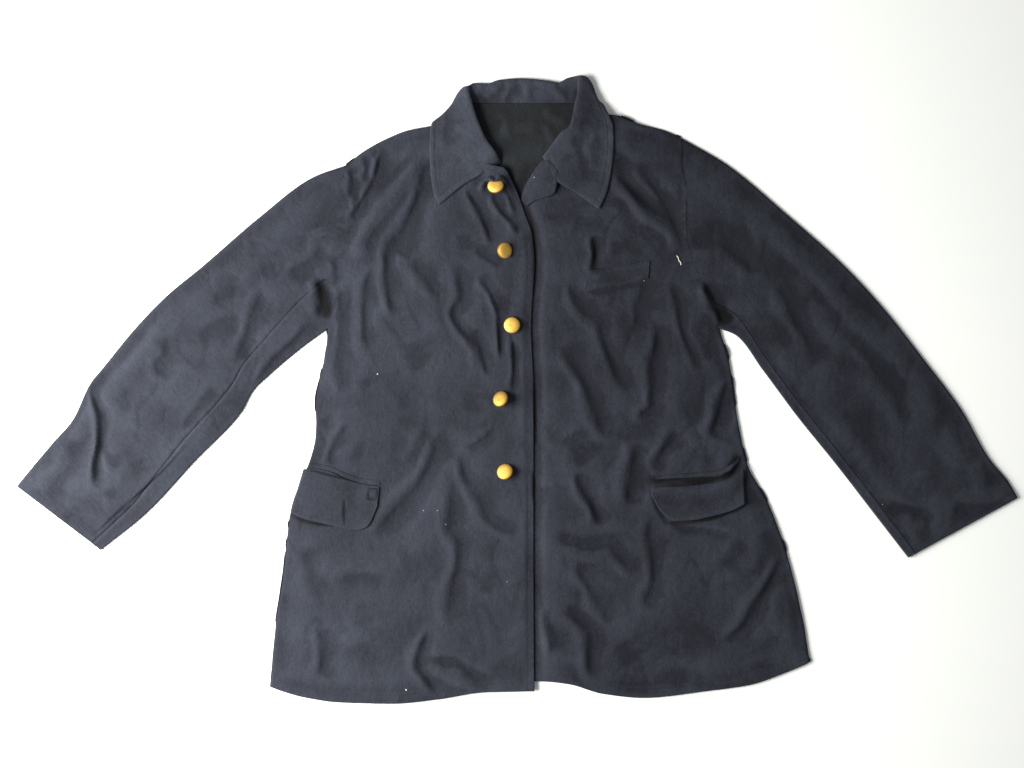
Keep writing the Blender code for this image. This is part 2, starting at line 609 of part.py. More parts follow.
def collar(trees, surface, collection):
    """The collar: a stand at the neck seam, a roll, and a fall that turns under the back."""
    roll_back = 2.5 * UNIT
    sections = []
    for number, (seam, fold, middle, rim, edge, heights) in enumerate(COLLAR_SECTIONS):
        seam, fold, middle, rim, edge = (place(point) for point in (seam, fold, middle, rim, edge))
        out = (middle - fold) / np.linalg.norm(middle - fold)
        stand_way = (seam - fold) / np.linalg.norm(seam - fold)
        wrapped = heights is not ON_FRONT and heights[1] < WRAP_HEIGHT
        under = rim + (edge - rim) * (0.25 if wrapped else 0.5)
        plan = np.array([seam, seam + (fold - seam) * 0.5, fold + stand_way * roll_back, fold,
                         fold + out * roll_back, middle, rim, under, edge])
        if heights is ON_FRONT:
            base = resting_height(plan, trees)
            base[:5] = base[:5].max()
            base = np.maximum(base, SHOULDER_STACK)
            level = base + np.array([1.5, 1.5, 1.7, 3.4, 5.1, 4.2, 2.4, 2.0, 1.7]) * MM
        else:
            middle_height, rim_height, edge_height = (height * MM for height in heights)
            under_height = edge_height if wrapped else (rim_height + edge_height) / 2
            behind = middle_height < WRAP_HEIGHT * MM
            stand = np.array([4.5, 5.4, 6.0, 3.9, 1.5] if behind else [5.0, 6.0, 7.4, 9.4, 10.4])
            fall = [middle_height, rim_height, under_height, edge_height]
            level = np.concatenate([stand * MM, fall])
            on_top = level > WRAP_HEIGHT * MM
            rest = resting_height(plan, trees) + REST_ABOVE
            if not behind:
                level = np.where(on_top & (rest > REST_ABOVE), np.maximum(level, rest), level)
        level = level + ROLL_RISE.get(number, 0.0) * MM * ROLL_SHARE
        sections.append(np.column_stack([plan, level]))
    sections = np.array(sections)
    count = len(sections)
    round_neck = smooth_through(np.arange(count), sections.reshape(count, -1),
                                np.linspace(0, count - 1, 2 * count - 1))
    round_neck = round_neck.reshape(2 * count - 1, 9, 3)
    columns = [0.0, 1.0, 2.0, 2.5, 3.0, 3.5, 4.0, 5.0, 5.5, 6.0, 6.5, 7.0, 8.0]
    points = np.array([smooth_through(np.arange(9), row, columns) for row in round_neck])
    return folded_wall("collar", points, COLLAR_CLOTH, surface, collection)


def laid_piece(name, sections, tree, rows, columns, lift, surface, collection):
    """A small piece that lies on a panel: its sections give two edges, and lift its rise."""
    first = place([row[0] for row in sections])
    second = place([row[1] for row in sections])
    along = np.linspace(0, 1, columns)
    first = smooth_through(length_shares(first), first, along)
    second = smooth_through(length_shares(second), second, along)
    share = np.linspace(0, 1, rows)[:, None, None]
    points = (1 - share) * first[None] + share * second[None]
    heights = resting_height(points, [tree]) + LAYER_GAP + lift(share[..., 0]) * np.ones(columns)
    return upright_wall(name, points, heights, CLOTH, surface, collection)


def button(name, centre, tilt, lean, tree, surface, collection):
    """A domed brass button on a shank, leaning on the cloth."""
    radius = BUTTON_DIAMETER / 2
    profile = [(out * radius, up * BUTTON_HEIGHT) for out, up in BUTTON_PROFILE]
    profile += [(SHANK_RADIUS, profile[-1][1]), (SHANK_RADIUS, -SHANK_LENGTH), (0.0, -SHANK_LENGTH)]
    mesh = bpy.data.meshes.new(name)
    rim = [(out, 0.0, up) for out, up in profile]
    mesh.from_pydata(rim, [(k, k + 1) for k in range(len(rim) - 1)], [])
    made = add_object(name, mesh, surface, collection)
    screw = made.modifiers.new("Turned", "SCREW")
    screw.steps = BUTTON_SEGMENTS
    screw.render_steps = BUTTON_SEGMENTS
    screw.use_merge_vertices = True
    screw.merge_threshold = 0.00005
    middle = place(centre)
    axis = Vector((-math.sin(math.radians(lean)), math.cos(math.radians(lean)), 0.0))
    turned = Matrix.Translation((*middle, 0.0)) @ Matrix.Rotation(math.radians(tilt), 4, axis)
    spots = []
    for step in range(BUTTON_SEGMENTS):
        angle = 2 * math.pi * step / BUTTON_SEGMENTS
        spots += [turned @ Vector((out * math.cos(angle), out * math.sin(angle), up))
                  for out, up in profile]
    spots = np.array(spots)
    rise = (resting_height(spots[:, :2], [tree], MM) - spots[:, 2]).max() + LAYER_GAP
    made.matrix_world = Matrix.Translation((0.0, 0.0, rise)) @ turned
    return made


def flap_lift(share):
    return 0.9 * MM * share


def open_flap_lift(share):
    """The lower front edge lies flat and the top stands open at the pocket mouth."""
    return 1.6 * MM * (1.0 - ease(share / 0.7))


def no_lift(share):
    return 0.0 * share


def lapel_lift(share):
    """The facing lies on the front and its fold side stands a little off it."""
    return 1.4 * MM * (1.0 - share)


def main():
    remove_all_objects()
    parts = bpy.data.collections.new("railway_uniform_jacket")
    bpy.context.scene.collection.children.link(parts)
    cloth = material("Dark navy cotton", (0.018, 0.019, 0.027), 0.9)
    brass = material("Brass", (0.64, 0.43, 0.12), 0.3, 1.0)

    back = back_panel(cloth, parts)
    right = front_panel("front_right", SIDE_RIGHT, ARMHOLE_RIGHT, SHOULDER_RIGHT, HEM_RIGHT,
                        EDGE_RIGHT, right_front_underside, 1, cloth, parts)
    left = front_panel("front_left", SIDE_LEFT, ARMHOLE_LEFT, SHOULDER_LEFT, HEM_LEFT,
                       EDGE_LEFT, left_front_underside, -1, cloth, parts)
    on_back, on_right, on_left = tops_of([back, right, left])
    sleeve("right", OUTER_RIGHT, INNER_RIGHT, ARMHOLE_RIGHT, SEAM_SHARE_RIGHT, -1, cloth, parts)
    sleeve("left", OUTER_LEFT, INNER_LEFT, ARMHOLE_LEFT, SEAM_SHARE_LEFT, 1, cloth, parts)
    collar([on_back, on_right, on_left], cloth, parts)
    laid_piece("lapel_left", LAPEL_SECTIONS, on_left, 5, 9, lapel_lift, cloth, parts)
    laid_piece("flap_right", FLAP_RIGHT, on_right, 4, 11, flap_lift, cloth, parts)
    laid_piece("flap_left", FLAP_LEFT, on_left, 4, 11, open_flap_lift, cloth, parts)
    laid_piece("jet_right", JET_RIGHT, on_right, 2, 9, no_lift, cloth, parts)
    laid_piece("jet_left", JET_LEFT, on_left, 2, 9, no_lift, cloth, parts)
    laid_piece("breast_welt", BREAST_WELT, on_left, 3, 7, no_lift, cloth, parts)
    for number, (centre, tilt, lean) in enumerate(zip(BUTTONS, BUTTON_TILTS, BUTTON_LEANS), 1):
        button(f"button_{number}", centre, tilt, lean, on_right, brass, parts)


main()
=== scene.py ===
"""Looks of the railway uniform jacket, laid flat on a pale table top.

Metres, +Z up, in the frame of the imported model. "right" and "left" in the names are the wearer's.
Every cloth piece of the frame is replaced by a thin shell with the same form, and with its folds,
turned edges, seams and stitches.
"""
import math

import bpy
import numpy as np
from mathutils import Matrix, Vector
from mathutils.bvhtree import BVHTree


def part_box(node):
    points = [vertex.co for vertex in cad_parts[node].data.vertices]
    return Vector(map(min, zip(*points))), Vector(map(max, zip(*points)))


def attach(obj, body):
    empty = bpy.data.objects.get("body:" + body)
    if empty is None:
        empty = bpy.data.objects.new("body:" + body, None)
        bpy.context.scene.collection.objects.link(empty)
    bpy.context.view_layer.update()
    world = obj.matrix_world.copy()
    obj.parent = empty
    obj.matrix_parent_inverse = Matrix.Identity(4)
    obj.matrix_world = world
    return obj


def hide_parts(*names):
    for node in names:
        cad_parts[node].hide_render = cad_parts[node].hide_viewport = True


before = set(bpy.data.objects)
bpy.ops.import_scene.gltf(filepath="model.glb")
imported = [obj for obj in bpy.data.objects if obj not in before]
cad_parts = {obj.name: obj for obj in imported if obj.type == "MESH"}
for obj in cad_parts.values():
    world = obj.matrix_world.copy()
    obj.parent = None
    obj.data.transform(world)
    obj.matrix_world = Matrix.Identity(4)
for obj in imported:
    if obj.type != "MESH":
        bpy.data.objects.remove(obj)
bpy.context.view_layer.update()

MM = 0.001

# Driving sizes
BACK_LENGTH = 746.25 * MM
CLOTH = 1.5 * MM
SHELL = 1.2 * MM
COLLAR_SHELL = 1.6 * MM
LAYER_GAP = 0.3 * MM
LOFT_HEIGHT = 3.4 * MM
LOFT_REACH = 34 * MM
FOLD_REACH = 13 * MM
EDGE_HEIGHT = 0.9 * MM
TURN_RADIUS = 4.5 * MM
BACK_INSET = 9.0 * MM
COLLAR_BED = 3.0 * MM
BUTTON_RADIUS = 10.5 * MM
BUTTON_HEIGHT = 3.6 * MM
BUTTON_SINK = 1.5 * MM
THREAD_RADIUS = 0.27 * MM
STITCH_LENGTH = 2.5 * MM
STITCH_PITCH = 3.3 * MM

# The tables are in units of the laying-out drawing, x to the right and y down. The neck seam
# of the back is 597 units above the hem, so one unit is 1.25 mm.
DRAWING_BACK_LENGTH = 597.0
UNIT = BACK_LENGTH / DRAWING_BACK_LENGTH
DRAWING_CENTRE_X = 517.35
DRAWING_CENTRE_Y = 390.012

# Side seams from hem to armpit
SIDE_RIGHT = [(270, 687), (275, 631), (283.5, 574), (290.6, 511), (298, 486), (312, 453),
              (315.5, 430), (316, 400), (321, 375), (325.5, 350), (328, 328)]
SIDE_LEFT = [(809.6, 662), (803, 620), (787, 554), (768, 503), (747, 463), (739.5, 430),
             (734.5, 400), (730, 365), (722, 337), (719.5, 328)]

# Armholes from armpit to shoulder point
ARMHOLE_RIGHT = [(328, 328), (328.5, 300), (326, 272), (333, 248), (343, 224), (349, 206),
                 (343, 190), (347, 165)]
ARMHOLE_LEFT = [(719.5, 328), (713, 300), (701, 280), (690, 252), (686, 224), (686, 190),
                (681, 165), (681, 138)]

# Shoulder lines from shoulder point to neck point
SHOULDER_RIGHT = [(347, 165), (363, 152), (388.5, 138), (408, 130.5), (432, 126), (450, 119),
                  (466, 110)]
SHOULDER_LEFT = [(681, 138), (664, 130.5), (638, 123.6), (620, 116.5), (606, 115), (596, 113),
                 (584, 109)]

# Hems from the side seam to the front edge
HEM_RIGHT = [(270, 687), (305, 697), (340, 702), (393, 703.3), (438, 699), (484.5, 692),
             (534.5, 690.5)]
HEM_LEFT = [(809.6, 662), (783, 673), (749, 684.6), (708, 690.5), (643, 697.4), (603, 693.5),
            (567.5, 683.6), (540, 681), (507, 681)]
HEM_MEETING = (534, 684)
BACK_CENTRE = (521, 430)

# Front edge and neckline of the upper front, and of the lower one, from hem to neck point
EDGE_RIGHT = [(534.5, 690.5), (533.8, 560), (533.8, 387), (531.3, 327), (534.8, 262), (532, 232),
              (526, 217), (521, 202), (513, 183), (503, 167.5), (491, 166), (482, 160),
              (473, 150), (465, 136), (461, 122), (466, 110)]
EDGE_LEFT = [(507, 681), (506, 560), (505, 387), (506, 262), (508, 232), (513, 212), (522, 198),
             (529, 182), (541, 163), (552.5, 161), (563, 156), (574, 147), (585, 135),
             (588, 122), (584, 109)]
NECK_SEAM = [(474, 104.3), (499, 104.3), (524, 104.3), (549, 104.3), (573, 104.3)]

# Sleeve edges from cuff to body, and where the front seam of a sleeve runs: along it, share of
# its width
OUTER_RIGHT = [(17.4, 486), (27, 474), (53, 443), (73, 420), (90.4, 384), (104, 367), (135, 329),
               (168, 295), (202, 267), (260, 217), (313, 177.5), (347, 165)]
INNER_RIGHT = [(101, 549.5), (146, 513), (193.6, 462), (241, 412), (252.6, 391), (269, 375),
               (294.6, 353), (328, 328)]
OUTER_LEFT = [(1017.3, 497.5), (1007.6, 481), (988.6, 458), (962, 411), (924, 360), (883, 308),
              (842, 264), (786, 214), (727, 165), (681, 138)]
INNER_LEFT = [(908, 557), (877, 517), (836, 464), (798, 417), (763, 370), (736, 335),
              (719.5, 328)]
SEAM_SHARE_RIGHT = [(0.0, 0.90), (0.3, 0.86), (0.7, 0.81), (1.0, 0.71)]
SEAM_SHARE_LEFT = [(0.0, 0.93), (0.3, 0.93), (0.7, 0.92), (1.0, 0.86)]

# Collar sections round the neck, from the wearer's right front end to the left one. Neck seam,
# fold, middle, rim and outer edge, and the heights in mm of the last three. A section with no
# heights lies on a front, and the others turn under the back.
ON_FRONT = None
COLLAR_SECTIONS = [
    ((491, 168.5), (501, 163), (483.5, 173.5), (463, 185.5), (439.5, 205), ON_FRONT),
    ((482.5, 160), (495, 153), (474, 164), (453, 177), (434.5, 194), ON_FRONT),
    ((474, 150), (487, 142), (468, 151), (449, 162), (431.5, 174), ON_FRONT),
    ((466, 136), (481, 130), (463, 137), (446, 146), (430.6, 155), ON_FRONT),
    ((462, 122), (476, 117), (460, 122), (445, 130), (430.8, 138), ON_FRONT),
    ((466, 109), (472, 104), (459, 109), (446, 116), (432.6, 124.5), ON_FRONT),
    ((468.5, 106), (470.5, 98), (461, 101), (450, 109), (438, 120), (9.0, 8.0, 4.5)),
    ((470.5, 104), (469, 93), (462, 97), (453, 103.5), (450, 116), (9.0, 4.8, 1.1)),
    ((474, 103.8), (469, 89), (465, 88), (463, 91), (469, 127), (7.6, 4.2, 1.1)),
    ((480, 103.7), (475, 84), (477, 92), (479, 108), (484, 131), (1.1, 1.1, 1.1)),
    ((489, 103.7), (487, 84.5), (488, 93), (490, 110), (494, 133), (1.1, 1.1, 1.1)),
    ((501, 103.7), (499.5, 81), (501, 92), (502, 110), (503, 133), (1.1, 1.1, 1.1)),
    ((521, 103.7), (521, 79.4), (521, 92), (522, 110), (522, 133), (1.1, 1.1, 1.1)),
    ((545, 103.7), (545, 81.4), (545, 92), (545, 110), (545, 133), (1.1, 1.1, 1.1)),
    ((560, 103.7), (558, 83.5), (560, 92), (560, 110), (560, 132), (1.1, 1.1, 1.1)),
    ((568, 103.7), (568, 79), (569, 92), (570, 110), (572, 130), (1.1, 1.1, 1.1)),
    ((573, 103.8), (578, 77.5), (584, 77.5), (587, 81), (584, 127), (7.6, 4.2, 1.1)),
    ((577, 104), (578, 89), (587, 88), (594, 91), (596, 114), (9.0, 4.8, 1.1)),
    ((580, 106), (577, 97), (587, 97), (596, 100), (601, 104), (9.0, 8.0, 4.5)),
    ((583.5, 109), (575, 104), (585, 105), (596, 108), (606, 112), ON_FRONT),
    ((587, 122), (573, 115), (586, 119), (600, 124), (612.5, 130), ON_FRONT),
    ((584, 135), (570, 127), (584, 133), (599, 140), (612.8, 148), ON_FRONT),
    ((573, 147), (560.5, 135), (577, 145), (594, 156), (611, 168), ON_FRONT),
    ((562.5, 157), (550, 149), (568, 161), (588, 175), (607, 190), ON_FRONT),
    ((554, 164), (543, 158), (556, 181), (577, 194), (598.5, 209.5), ON_FRONT),
]
# The roll at the wearer's right stands higher: section number, extra height in mm, and the share
# of it that each of the nine points of a section gets
ROLL_RISE = {3: 1.6, 4: 2.8, 5: 3.2, 6: 2.8, 7: 1.6}
ROLL_SHARE = np.array([0.0, 0.4, 0.8, 1.0, 1.0, 0.6, 0.15, 0.0, 0.0])
FRONT_ROWS_RIGHT = 5.0
FRONT_ROWS_LEFT = 19.0

# The lapel facing turned out over the wearer's left front: fold side, outer side
LAPEL_SECTIONS = [
    ((527, 207), (533.5, 201.5)),
    ((521.5, 199), (545, 198)),
    ((523, 190), (554.5, 194)),
    ((532, 175), (557, 183)),
    ((543.5, 158.5), (557.5, 172)),
]

# Flaps, hip jets and breast welt: sections across the piece, upper side and lower side
FLAP_RIGHT = [((303.5, 469), (291.5, 512)), ((313, 468.5), (304, 518)), ((329, 471), (324, 523)),
              ((345, 478), (341, 527)), ((362, 483.5), (356, 530)), ((374, 485.5), (368, 526)),
              ((380.4, 486.5), (378, 506))]
FLAP_LEFT = [((742.5, 466), (744, 503.5)), ((735, 474.5), (733, 509.5)), ((722, 480), (714, 515)),
             ((700, 484), (692, 519.5)), ((676, 486), (674, 520.5)), ((660, 486.5), (661, 512)),
             ((650, 487), (650.5, 494))]
JET_RIGHT = [((310, 463.3), (309.5, 467.2)), ((320, 464.2), (319, 468)), ((330, 466), (329, 469.8)),
             ((346, 473), (345, 476.8)), ((363, 478.5), (362, 482.3)), ((380, 480.5), (380, 484.6))]
JET_LEFT = [((739, 456), (739, 461)), ((732, 463.5), (731, 469)), ((720, 468.5), (719, 473.5)),
            ((700, 471.5), (699, 476)), ((680, 473.5), (680, 477.5)), ((656, 475.5), (655, 479))]
FLAP_TACK = [(369.5, 488), (377.5, 489), (376.5, 499), (368.5, 498), (369.5, 488)]
BREAST_WELT = [((587.5, 271), (584, 289)), ((608, 268), (604.5, 286)), ((629, 264.5), (626, 282)),
               ((650, 261), (648, 278.5))]

# Buttons down the wearer's right front: centre, tilt in degrees, the way the face leans, in
# # degrees from +X, and how far the dome is worn bright, lowered on the fourth and fifth as painted
# shade
BUTTONS = [((495.7, 187), 24, 100, 1.0), ((504.7, 251.3), 32, 0, 1.0), ((512, 325.5), 5, 60, 1.0),
           ((500.7, 398.9), 34, 140, 0.42), ((505, 471.3), 26, 125, 0.7)]

# Folds: half width in drawing units, height in mm (a trough is below nought), and the line
# along which the fold's shaded side runs
FRONT_RIGHT_FOLDS = [
    (10, -3.4, [(429, 148), (422, 185), (412, 213), (402, 232), (386.5, 250), (385, 262)]),
    (7, -2.4, [(386, 246), (386.5, 272), (388.5, 294), (394, 318)]),
    (5, -2.8, [(384.5, 146), (376.6, 175), (365, 197), (355, 220)]),
    (6, -1.4, [(430, 141), (408, 160), (386.5, 183), (359, 216)]),
    (14, 2.4, [(420, 158), (400, 185), (372, 222), (350, 262)]),
    (3, -2.4, [(362, 154), (367, 168), (363, 184)]),
    (3, -2.4, [(349, 168), (352, 182), (349, 198)]),
    (3, -2.6, [(356, 192), (356, 206), (350, 220)]),
    (3, -2.2, [(372, 150), (378, 164), (376, 180)]),
    (3, -2.0, [(331, 258), (336, 272), (333, 290)]),
    (6, -1.8, [(373, 266), (366, 288), (364, 317), (365, 337), (371, 351)]),
    (7, -1.6, [(341, 276), (341, 337), (338, 367), (345, 400)]),
    (6, -1.8, [(408, 260), (424, 280), (438, 300)]),
    (6, -2.2, [(450, 262), (458, 278), (461, 296), (452, 313), (458, 327), (470, 341), (478, 352),
               (480, 379)]),
    (5, -1.2, [(459, 234), (461, 252)]),
    (4.5, -2.2, [(464, 189), (477.5, 209), (485, 226), (493, 248)]),
    (3.5, -3.4, [(491, 193), (502, 213), (513, 224), (519, 238)]),
    (3, -2.6, [(506, 190), (515, 213), (519, 232)]),
    (3.6, -2.6, [(474, 251), (487, 259), (502, 269)]),
    (3.6, -2.8, [(478, 276), (494, 299), (506, 318)]),
    (3.2, -2.6, [(489, 292), (499, 320), (500, 358)]),
    (3, -2.4, [(511, 338), (514, 367), (511, 392)]),
    (3.4, -2.0, [(470, 330), (482, 352), (487, 378)]),
    (3.4, -1.8, [(497, 425), (480, 440), (466, 447)]),
    (7, -1.0, [(404, 343), (411, 360), (421, 373)]),
    (6, -0.9, [(361, 380), (366, 390)]),
    (4, -1.8, [(349, 420), (337, 439), (330, 455), (329, 469)]),
    (5, -1.0, [(320, 420), (334, 436)]),
    (8, -1.0, [(350, 458), (362, 463)]),
    (7, -1.3, [(428, 426), (407, 468)]),
    (9, -2.6, [(446, 428), (433.5, 453), (421, 480), (407, 496), (391, 514.5), (372, 537)]),
    (7, -1.7, [(456, 450), (464, 476), (480, 504), (489, 521), (505, 531), (523, 535)]),
    (8, -1.9, [(452, 472), (450, 512), (448, 527), (458, 545), (458, 565), (452, 584), (448, 614),
               (450, 633)]),
    (6, -1.1, [(467, 569), (480, 586), (496, 595)]),
    (6, -2.4, [(430, 627), (421, 647), (417, 665.5), (425, 678), (441, 697)]),
    (5, -1.6, [(428, 655), (454, 657), (474, 668), (499, 679)]),
    (7, 1.8, [(432, 668), (455, 677), (478, 686)]),
    (6, -2.0, [(318, 627), (323, 645), (320, 680)]),
    (7, -1.0, [(302, 544), (309, 578), (320, 602)]),
    (7, -0.9, [(361, 600), (356, 629)]),
    (6, -0.7, [(330, 578), (360, 573), (392, 575)]),
    (6, -0.7, [(341, 647), (375, 642)]),
    (6, -1.1, [(507, 408), (492, 417), (478, 430)]),
    (6, -0.9, [(468, 388), (464, 412)]),
    (2.8, 5.0, [(478, 192), (484, 184), (489, 180), (495.4, 182.5), (501, 179.5), (506, 184),
               (512, 192)]),
]
FRONT_LEFT_FOLDS = [
    (8, -1.9, [(614, 147), (619, 175), (634, 195), (646, 209), (664, 224), (675, 238)]),
    (10, 1.3, [(606, 186), (626, 195), (642, 213), (658, 222), (670, 234), (675, 256)]),
    (2.5, -1.3, [(582, 291), (605, 288), (628, 284), (650, 279)]),
    (6, -1.5, [(630, 162), (654, 191), (670, 213), (679, 234)]),
    (7, -1.2, [(628, 126), (632, 140), (630, 152)]),
    (3.5, -3.6, [(592, 234), (594, 254), (592, 276)]),
    (4, -1.0, [(613, 240), (612, 256)]),
    (4, -0.9, [(547, 212), (546, 220)]),
    (6, -1.0, [(575, 215), (590, 220), (603, 214)]),
    (7, -1.3, [(647, 274), (640, 294), (636, 309), (636, 329)]),
    (7, -1.8, [(566, 276), (573, 298), (583, 313), (597, 325), (603, 345), (611, 363), (619, 383),
               (629, 400)]),
    (8, -2.2, [(558, 345), (573, 367), (585, 388), (591, 406), (599, 426), (608, 443)]),
    (8, -2.3, [(656, 321), (656, 343), (650, 367), (651, 388), (650, 406), (641, 414), (649, 426)]),
    (5, -1.4, [(667, 280), (676, 303), (680, 327), (690, 353), (699, 375)]),
    (5, -1.0, [(689, 321), (700, 343), (711, 365)]),
    (9, -4.2, [(729, 378), (720, 408), (708, 440)]),
    (5.5, -3.0, [(676, 428), (662, 449), (647, 470)]),
    (10, -3.2, [(637, 440), (631, 468), (626, 506)]),
    (5.5, -3.0, [(573, 472), (584, 494), (592, 508), (599, 529)]),
    (9, -1.8, [(563, 434), (572, 452), (583, 470)]),
    (8, -1.6, [(549, 534), (567.5, 544), (593, 550), (607, 548), (619, 560), (638, 577)]),
    (7, -1.7, [(650, 509), (647, 536), (651, 554), (652, 580), (645, 600), (657, 613)]),
    (8, -1.5, [(574, 562), (585, 582), (599, 607), (610, 629)]),
    (8, -2.4, [(560, 611), (575, 619), (589, 637), (588, 663), (596, 681)]),
    (8, -1.3, [(612, 647), (628, 669)]),
    (7, -2.6, [(784, 554), (765, 586), (753, 605), (739.5, 627), (720, 638)]),
    (7, -1.2, [(763, 526), (761, 554), (750, 576)]),
    (6, -1.0, [(740, 534), (718, 568)]),
    (7, -1.0, [(650, 678), (668, 669), (693, 665)]),
    (4, -1.0, [(668, 521), (690, 526), (718, 530), (736, 536)]),
    (6, 2.6, [(537, 604), (541, 622), (549, 655)]),
    (4, -1.1, [(541, 424), (552, 440), (566, 450)]),
    (3.5, 1.0, [(537, 452), (549, 458)]),
    (4, -1.3, [(537, 506), (541, 489), (551, 482)]),
    (3.2, -3.0, [(652, 481), (672, 478.5), (693, 479.5), (712, 478), (728, 474), (735, 464),
                 (738, 450)]),
]
SLEEVE_RIGHT_FOLDS = [
    (4.2, -4.2, [(88, 376), (95, 400), (101, 420), (100, 443), (96, 465), (96, 492)]),
    (3.6, -2.2, [(100, 440), (108, 456), (119, 471)]),
    (4, -2.0, [(106, 492), (112, 497), (119, 497)]),
    (9, -1.4, [(67, 433), (67, 462), (53, 482), (46, 499)]),
    (6, -0.9, [(71.6, 488), (80, 515)]),
    (4, -1.2, [(110, 496), (117, 503)]),
    (7, -0.9, [(133, 460), (138, 476)]),
    (7, -1.3, [(153, 331), (166, 353), (158, 367), (172, 383)]),
    (7, -1.4, [(231, 269), (222, 288), (210, 304)]),
    (5, -1.0, [(254, 239), (250, 259)]),
    (6, -0.9, [(234, 313), (215, 324), (195, 334)]),
    (8, -1.9, [(262, 286), (253, 316), (244, 342), (236, 365)]),
    (7, -2.0, [(325, 244), (309, 260), (287, 276)]),
    (6, -1.0, [(273, 259), (260, 272)]),
    (8, 1.2, [(318, 228), (322, 238)]),
    (5, -2.0, [(313, 320), (295, 339), (275, 358.5), (252, 388)]),
    (6, -0.9, [(241, 402), (241, 416)]),
    (4, -0.9, [(216, 381), (199, 405), (182, 429)]),
    (7, -5.0, [(319, 276), (321, 298), (319, 320)]),
    (12, 1.0, [(60, 452), (110, 392), (180, 312)]),
]
SLEEVE_LEFT_FOLDS = [
    (6, -1.8, [(885, 499), (912, 506), (940, 515)]),
    (9, -1.4, [(949, 500), (983, 506), (1013, 495)]),
    (7, -1.3, [(987, 459), (984, 475), (976, 489)]),
    (5, -1.2, [(903, 519), (918, 534), (931, 547)]),
    (10, -1.7, [(688, 250), (719, 244), (736, 258), (758, 277)]),
    (9, -1.6, [(771, 280), (789, 311), (807, 346), (812, 372)]),
    (5, -0.8, [(681, 150), (682, 162), (684, 176)]),
    (6, -5.0, [(702, 282), (713, 303), (725, 328)]),
    (11, 1.0, [(760, 220), (820, 280), (880, 350)]),
    (9, -0.9, [(846, 330), (880, 380), (905, 430)]),
]
COLLAR_FOLDS = [
    (4, -0.8, [(454, 160), (458, 166)]),
    (5, -1.0, [(478, 156), (474, 164)]),
    (5, -0.9, [(586, 168), (584, 182)]),
    (4, -0.8, [(561, 159), (565, 165)]),
    (4, -0.8, [(576, 134), (571, 146)]),
    (7, 0.9, [(450, 118), (462, 136)]),
    (3, -2.2, [(507, 81), (494, 95), (481, 101)]),
    (3.2, -2.4, [(519, 80), (511, 92), (504, 103)]),
    (3, -1.8, [(534, 82), (530, 92), (531, 103)]),
    (3, -2.0, [(553, 86), (560, 92), (569, 100)]),
    (3.5, -1.6, [(490, 84), (483, 92), (478, 99)]),
    (5, -1.4, [(452, 112), (447, 132), (449, 150)]),
    (5, -1.3, [(600, 132), (592, 150), (597, 172)]),
    (4, -1.2, [(566, 140), (578, 152), (583, 170)]),
    (4, -0.6, [(487, 170), (498, 167)]),
]
BACK_FOLDS = [
    (4, 2.0, [(542, 110), (557, 120), (570, 125)]),
    (4, 1.8, [(543, 124), (552, 139), (556, 150)]),
    (6, 1.6, [(496, 135), (515, 129), (540, 127)]),
    (4, 1.6, [(497, 112), (506, 122), (508, 138)]),
    (9, 1.2, [(500, 150), (515, 165), (522, 185)]),
]

# Painted shade, where the colour is darkened: the pocket mouth, the armpit gaps, a sleeve seam,
# crease lines,
# # and the shadows beside the right front's edge and along the flaps' edges. Half width, and line
PAINTED_SHADE_LINES = [
    (1.5, [(655, 480), (672, 478.5), (693, 479.5), (712, 478), (728, 474)]),
    (3.4, [(650, 479), (661, 479.5)]),
    (3.8, [(684, 480), (696, 480.5), (711, 479)]),
    (4.0, [(726, 475), (736, 461)]),
    (1.8, [(664, 523), (688, 521.5), (712, 517.5), (743, 506)]),
    (2.4, [(651, 490), (656, 505), (664, 520)]),
    (2.0, [(291, 514), (303, 519.5), (318, 523), (332, 525)]),
    (4.6, [(317, 283), (323, 295), (326, 305), (328, 316)]),
    (3.0, [(704, 286), (713, 301)]),
    (8.0, [(718, 309), (729, 324)]),
    (4.0, [(727, 474), (731, 466), (734, 456)]),
    (1.1, [(94, 534), (128, 504), (160, 474), (186, 446)]),
    (1.9, [(525, 205), (531, 221), (533.5, 240), (534.2, 268), (533, 294)]),
    (1.5, [(533.8, 384), (534.6, 410), (535, 442)]),
    (1.2, [(532.6, 472), (533.4, 502)]),
    (1.1, [(497, 322), (499, 346), (501, 358)]),
    (1.1, [(509.5, 334), (513.5, 352), (513, 372)]),
    (2.2, [(592, 241), (594, 254), (592, 266)]),
]

# Darkened lines on the flaps: round the tack where a flap is stitched down, painted shade along the
# # right flap's top edge and in a pucker, and a painted shadow along the left flap's lower edge
FLAP_SHADE_MARKS = {"flap_right": [(0.9, FLAP_TACK[:3]), (0.9, FLAP_TACK[2:]),
                             (1.0, [(312, 470), (340, 477), (372, 485)]),
                             (1.0, [(345, 500), (344, 512), (345, 524)])],
              "flap_left": [(1.6, [(690, 524), (712, 519), (742, 509)])]}

# Lint on the cloth with its size in mm, and the loose thread end at the wearer's left armhole
LINT = [(378, 374, 0.8), (424, 510, 0.4), (438, 510, 0.35), (446, 524, 0.5), (507, 581, 0.4),
        (406.5, 689, 0.8), (881.5, 504, 0.4), (643.7, 281, 0.4), (534, 178.6, 0.45)]
THREAD_END = [(676, 256), (677.6, 258), (678.4, 261), (680.2, 263), (680.5, 265.5)]


def place(points):
    """Drawing units to metres, for one point or a table of them."""
    points = np.asarray(points, dtype=float)
    across = (points[..., 0] - DRAWING_CENTRE_X) * UNIT
    up = (DRAWING_CENTRE_Y - points[..., 1]) * UNIT
    return np.stack([across, up], axis=-1)


def ease(value):
    """A smooth step from 0 to 1."""
    value = np.clip(value, 0.0, 1.0)
    return value * value * (3.0 - 2.0 * value)


def bell(distance, width):
    """1 at no distance, and falling smoothly to 0 past the width."""
    return np.exp(-((distance / width) ** 2))


def unit(vectors):
    """Vectors of length 1."""
    return vectors / (np.linalg.norm(vectors, axis=-1, keepdims=True) + 1e-12)


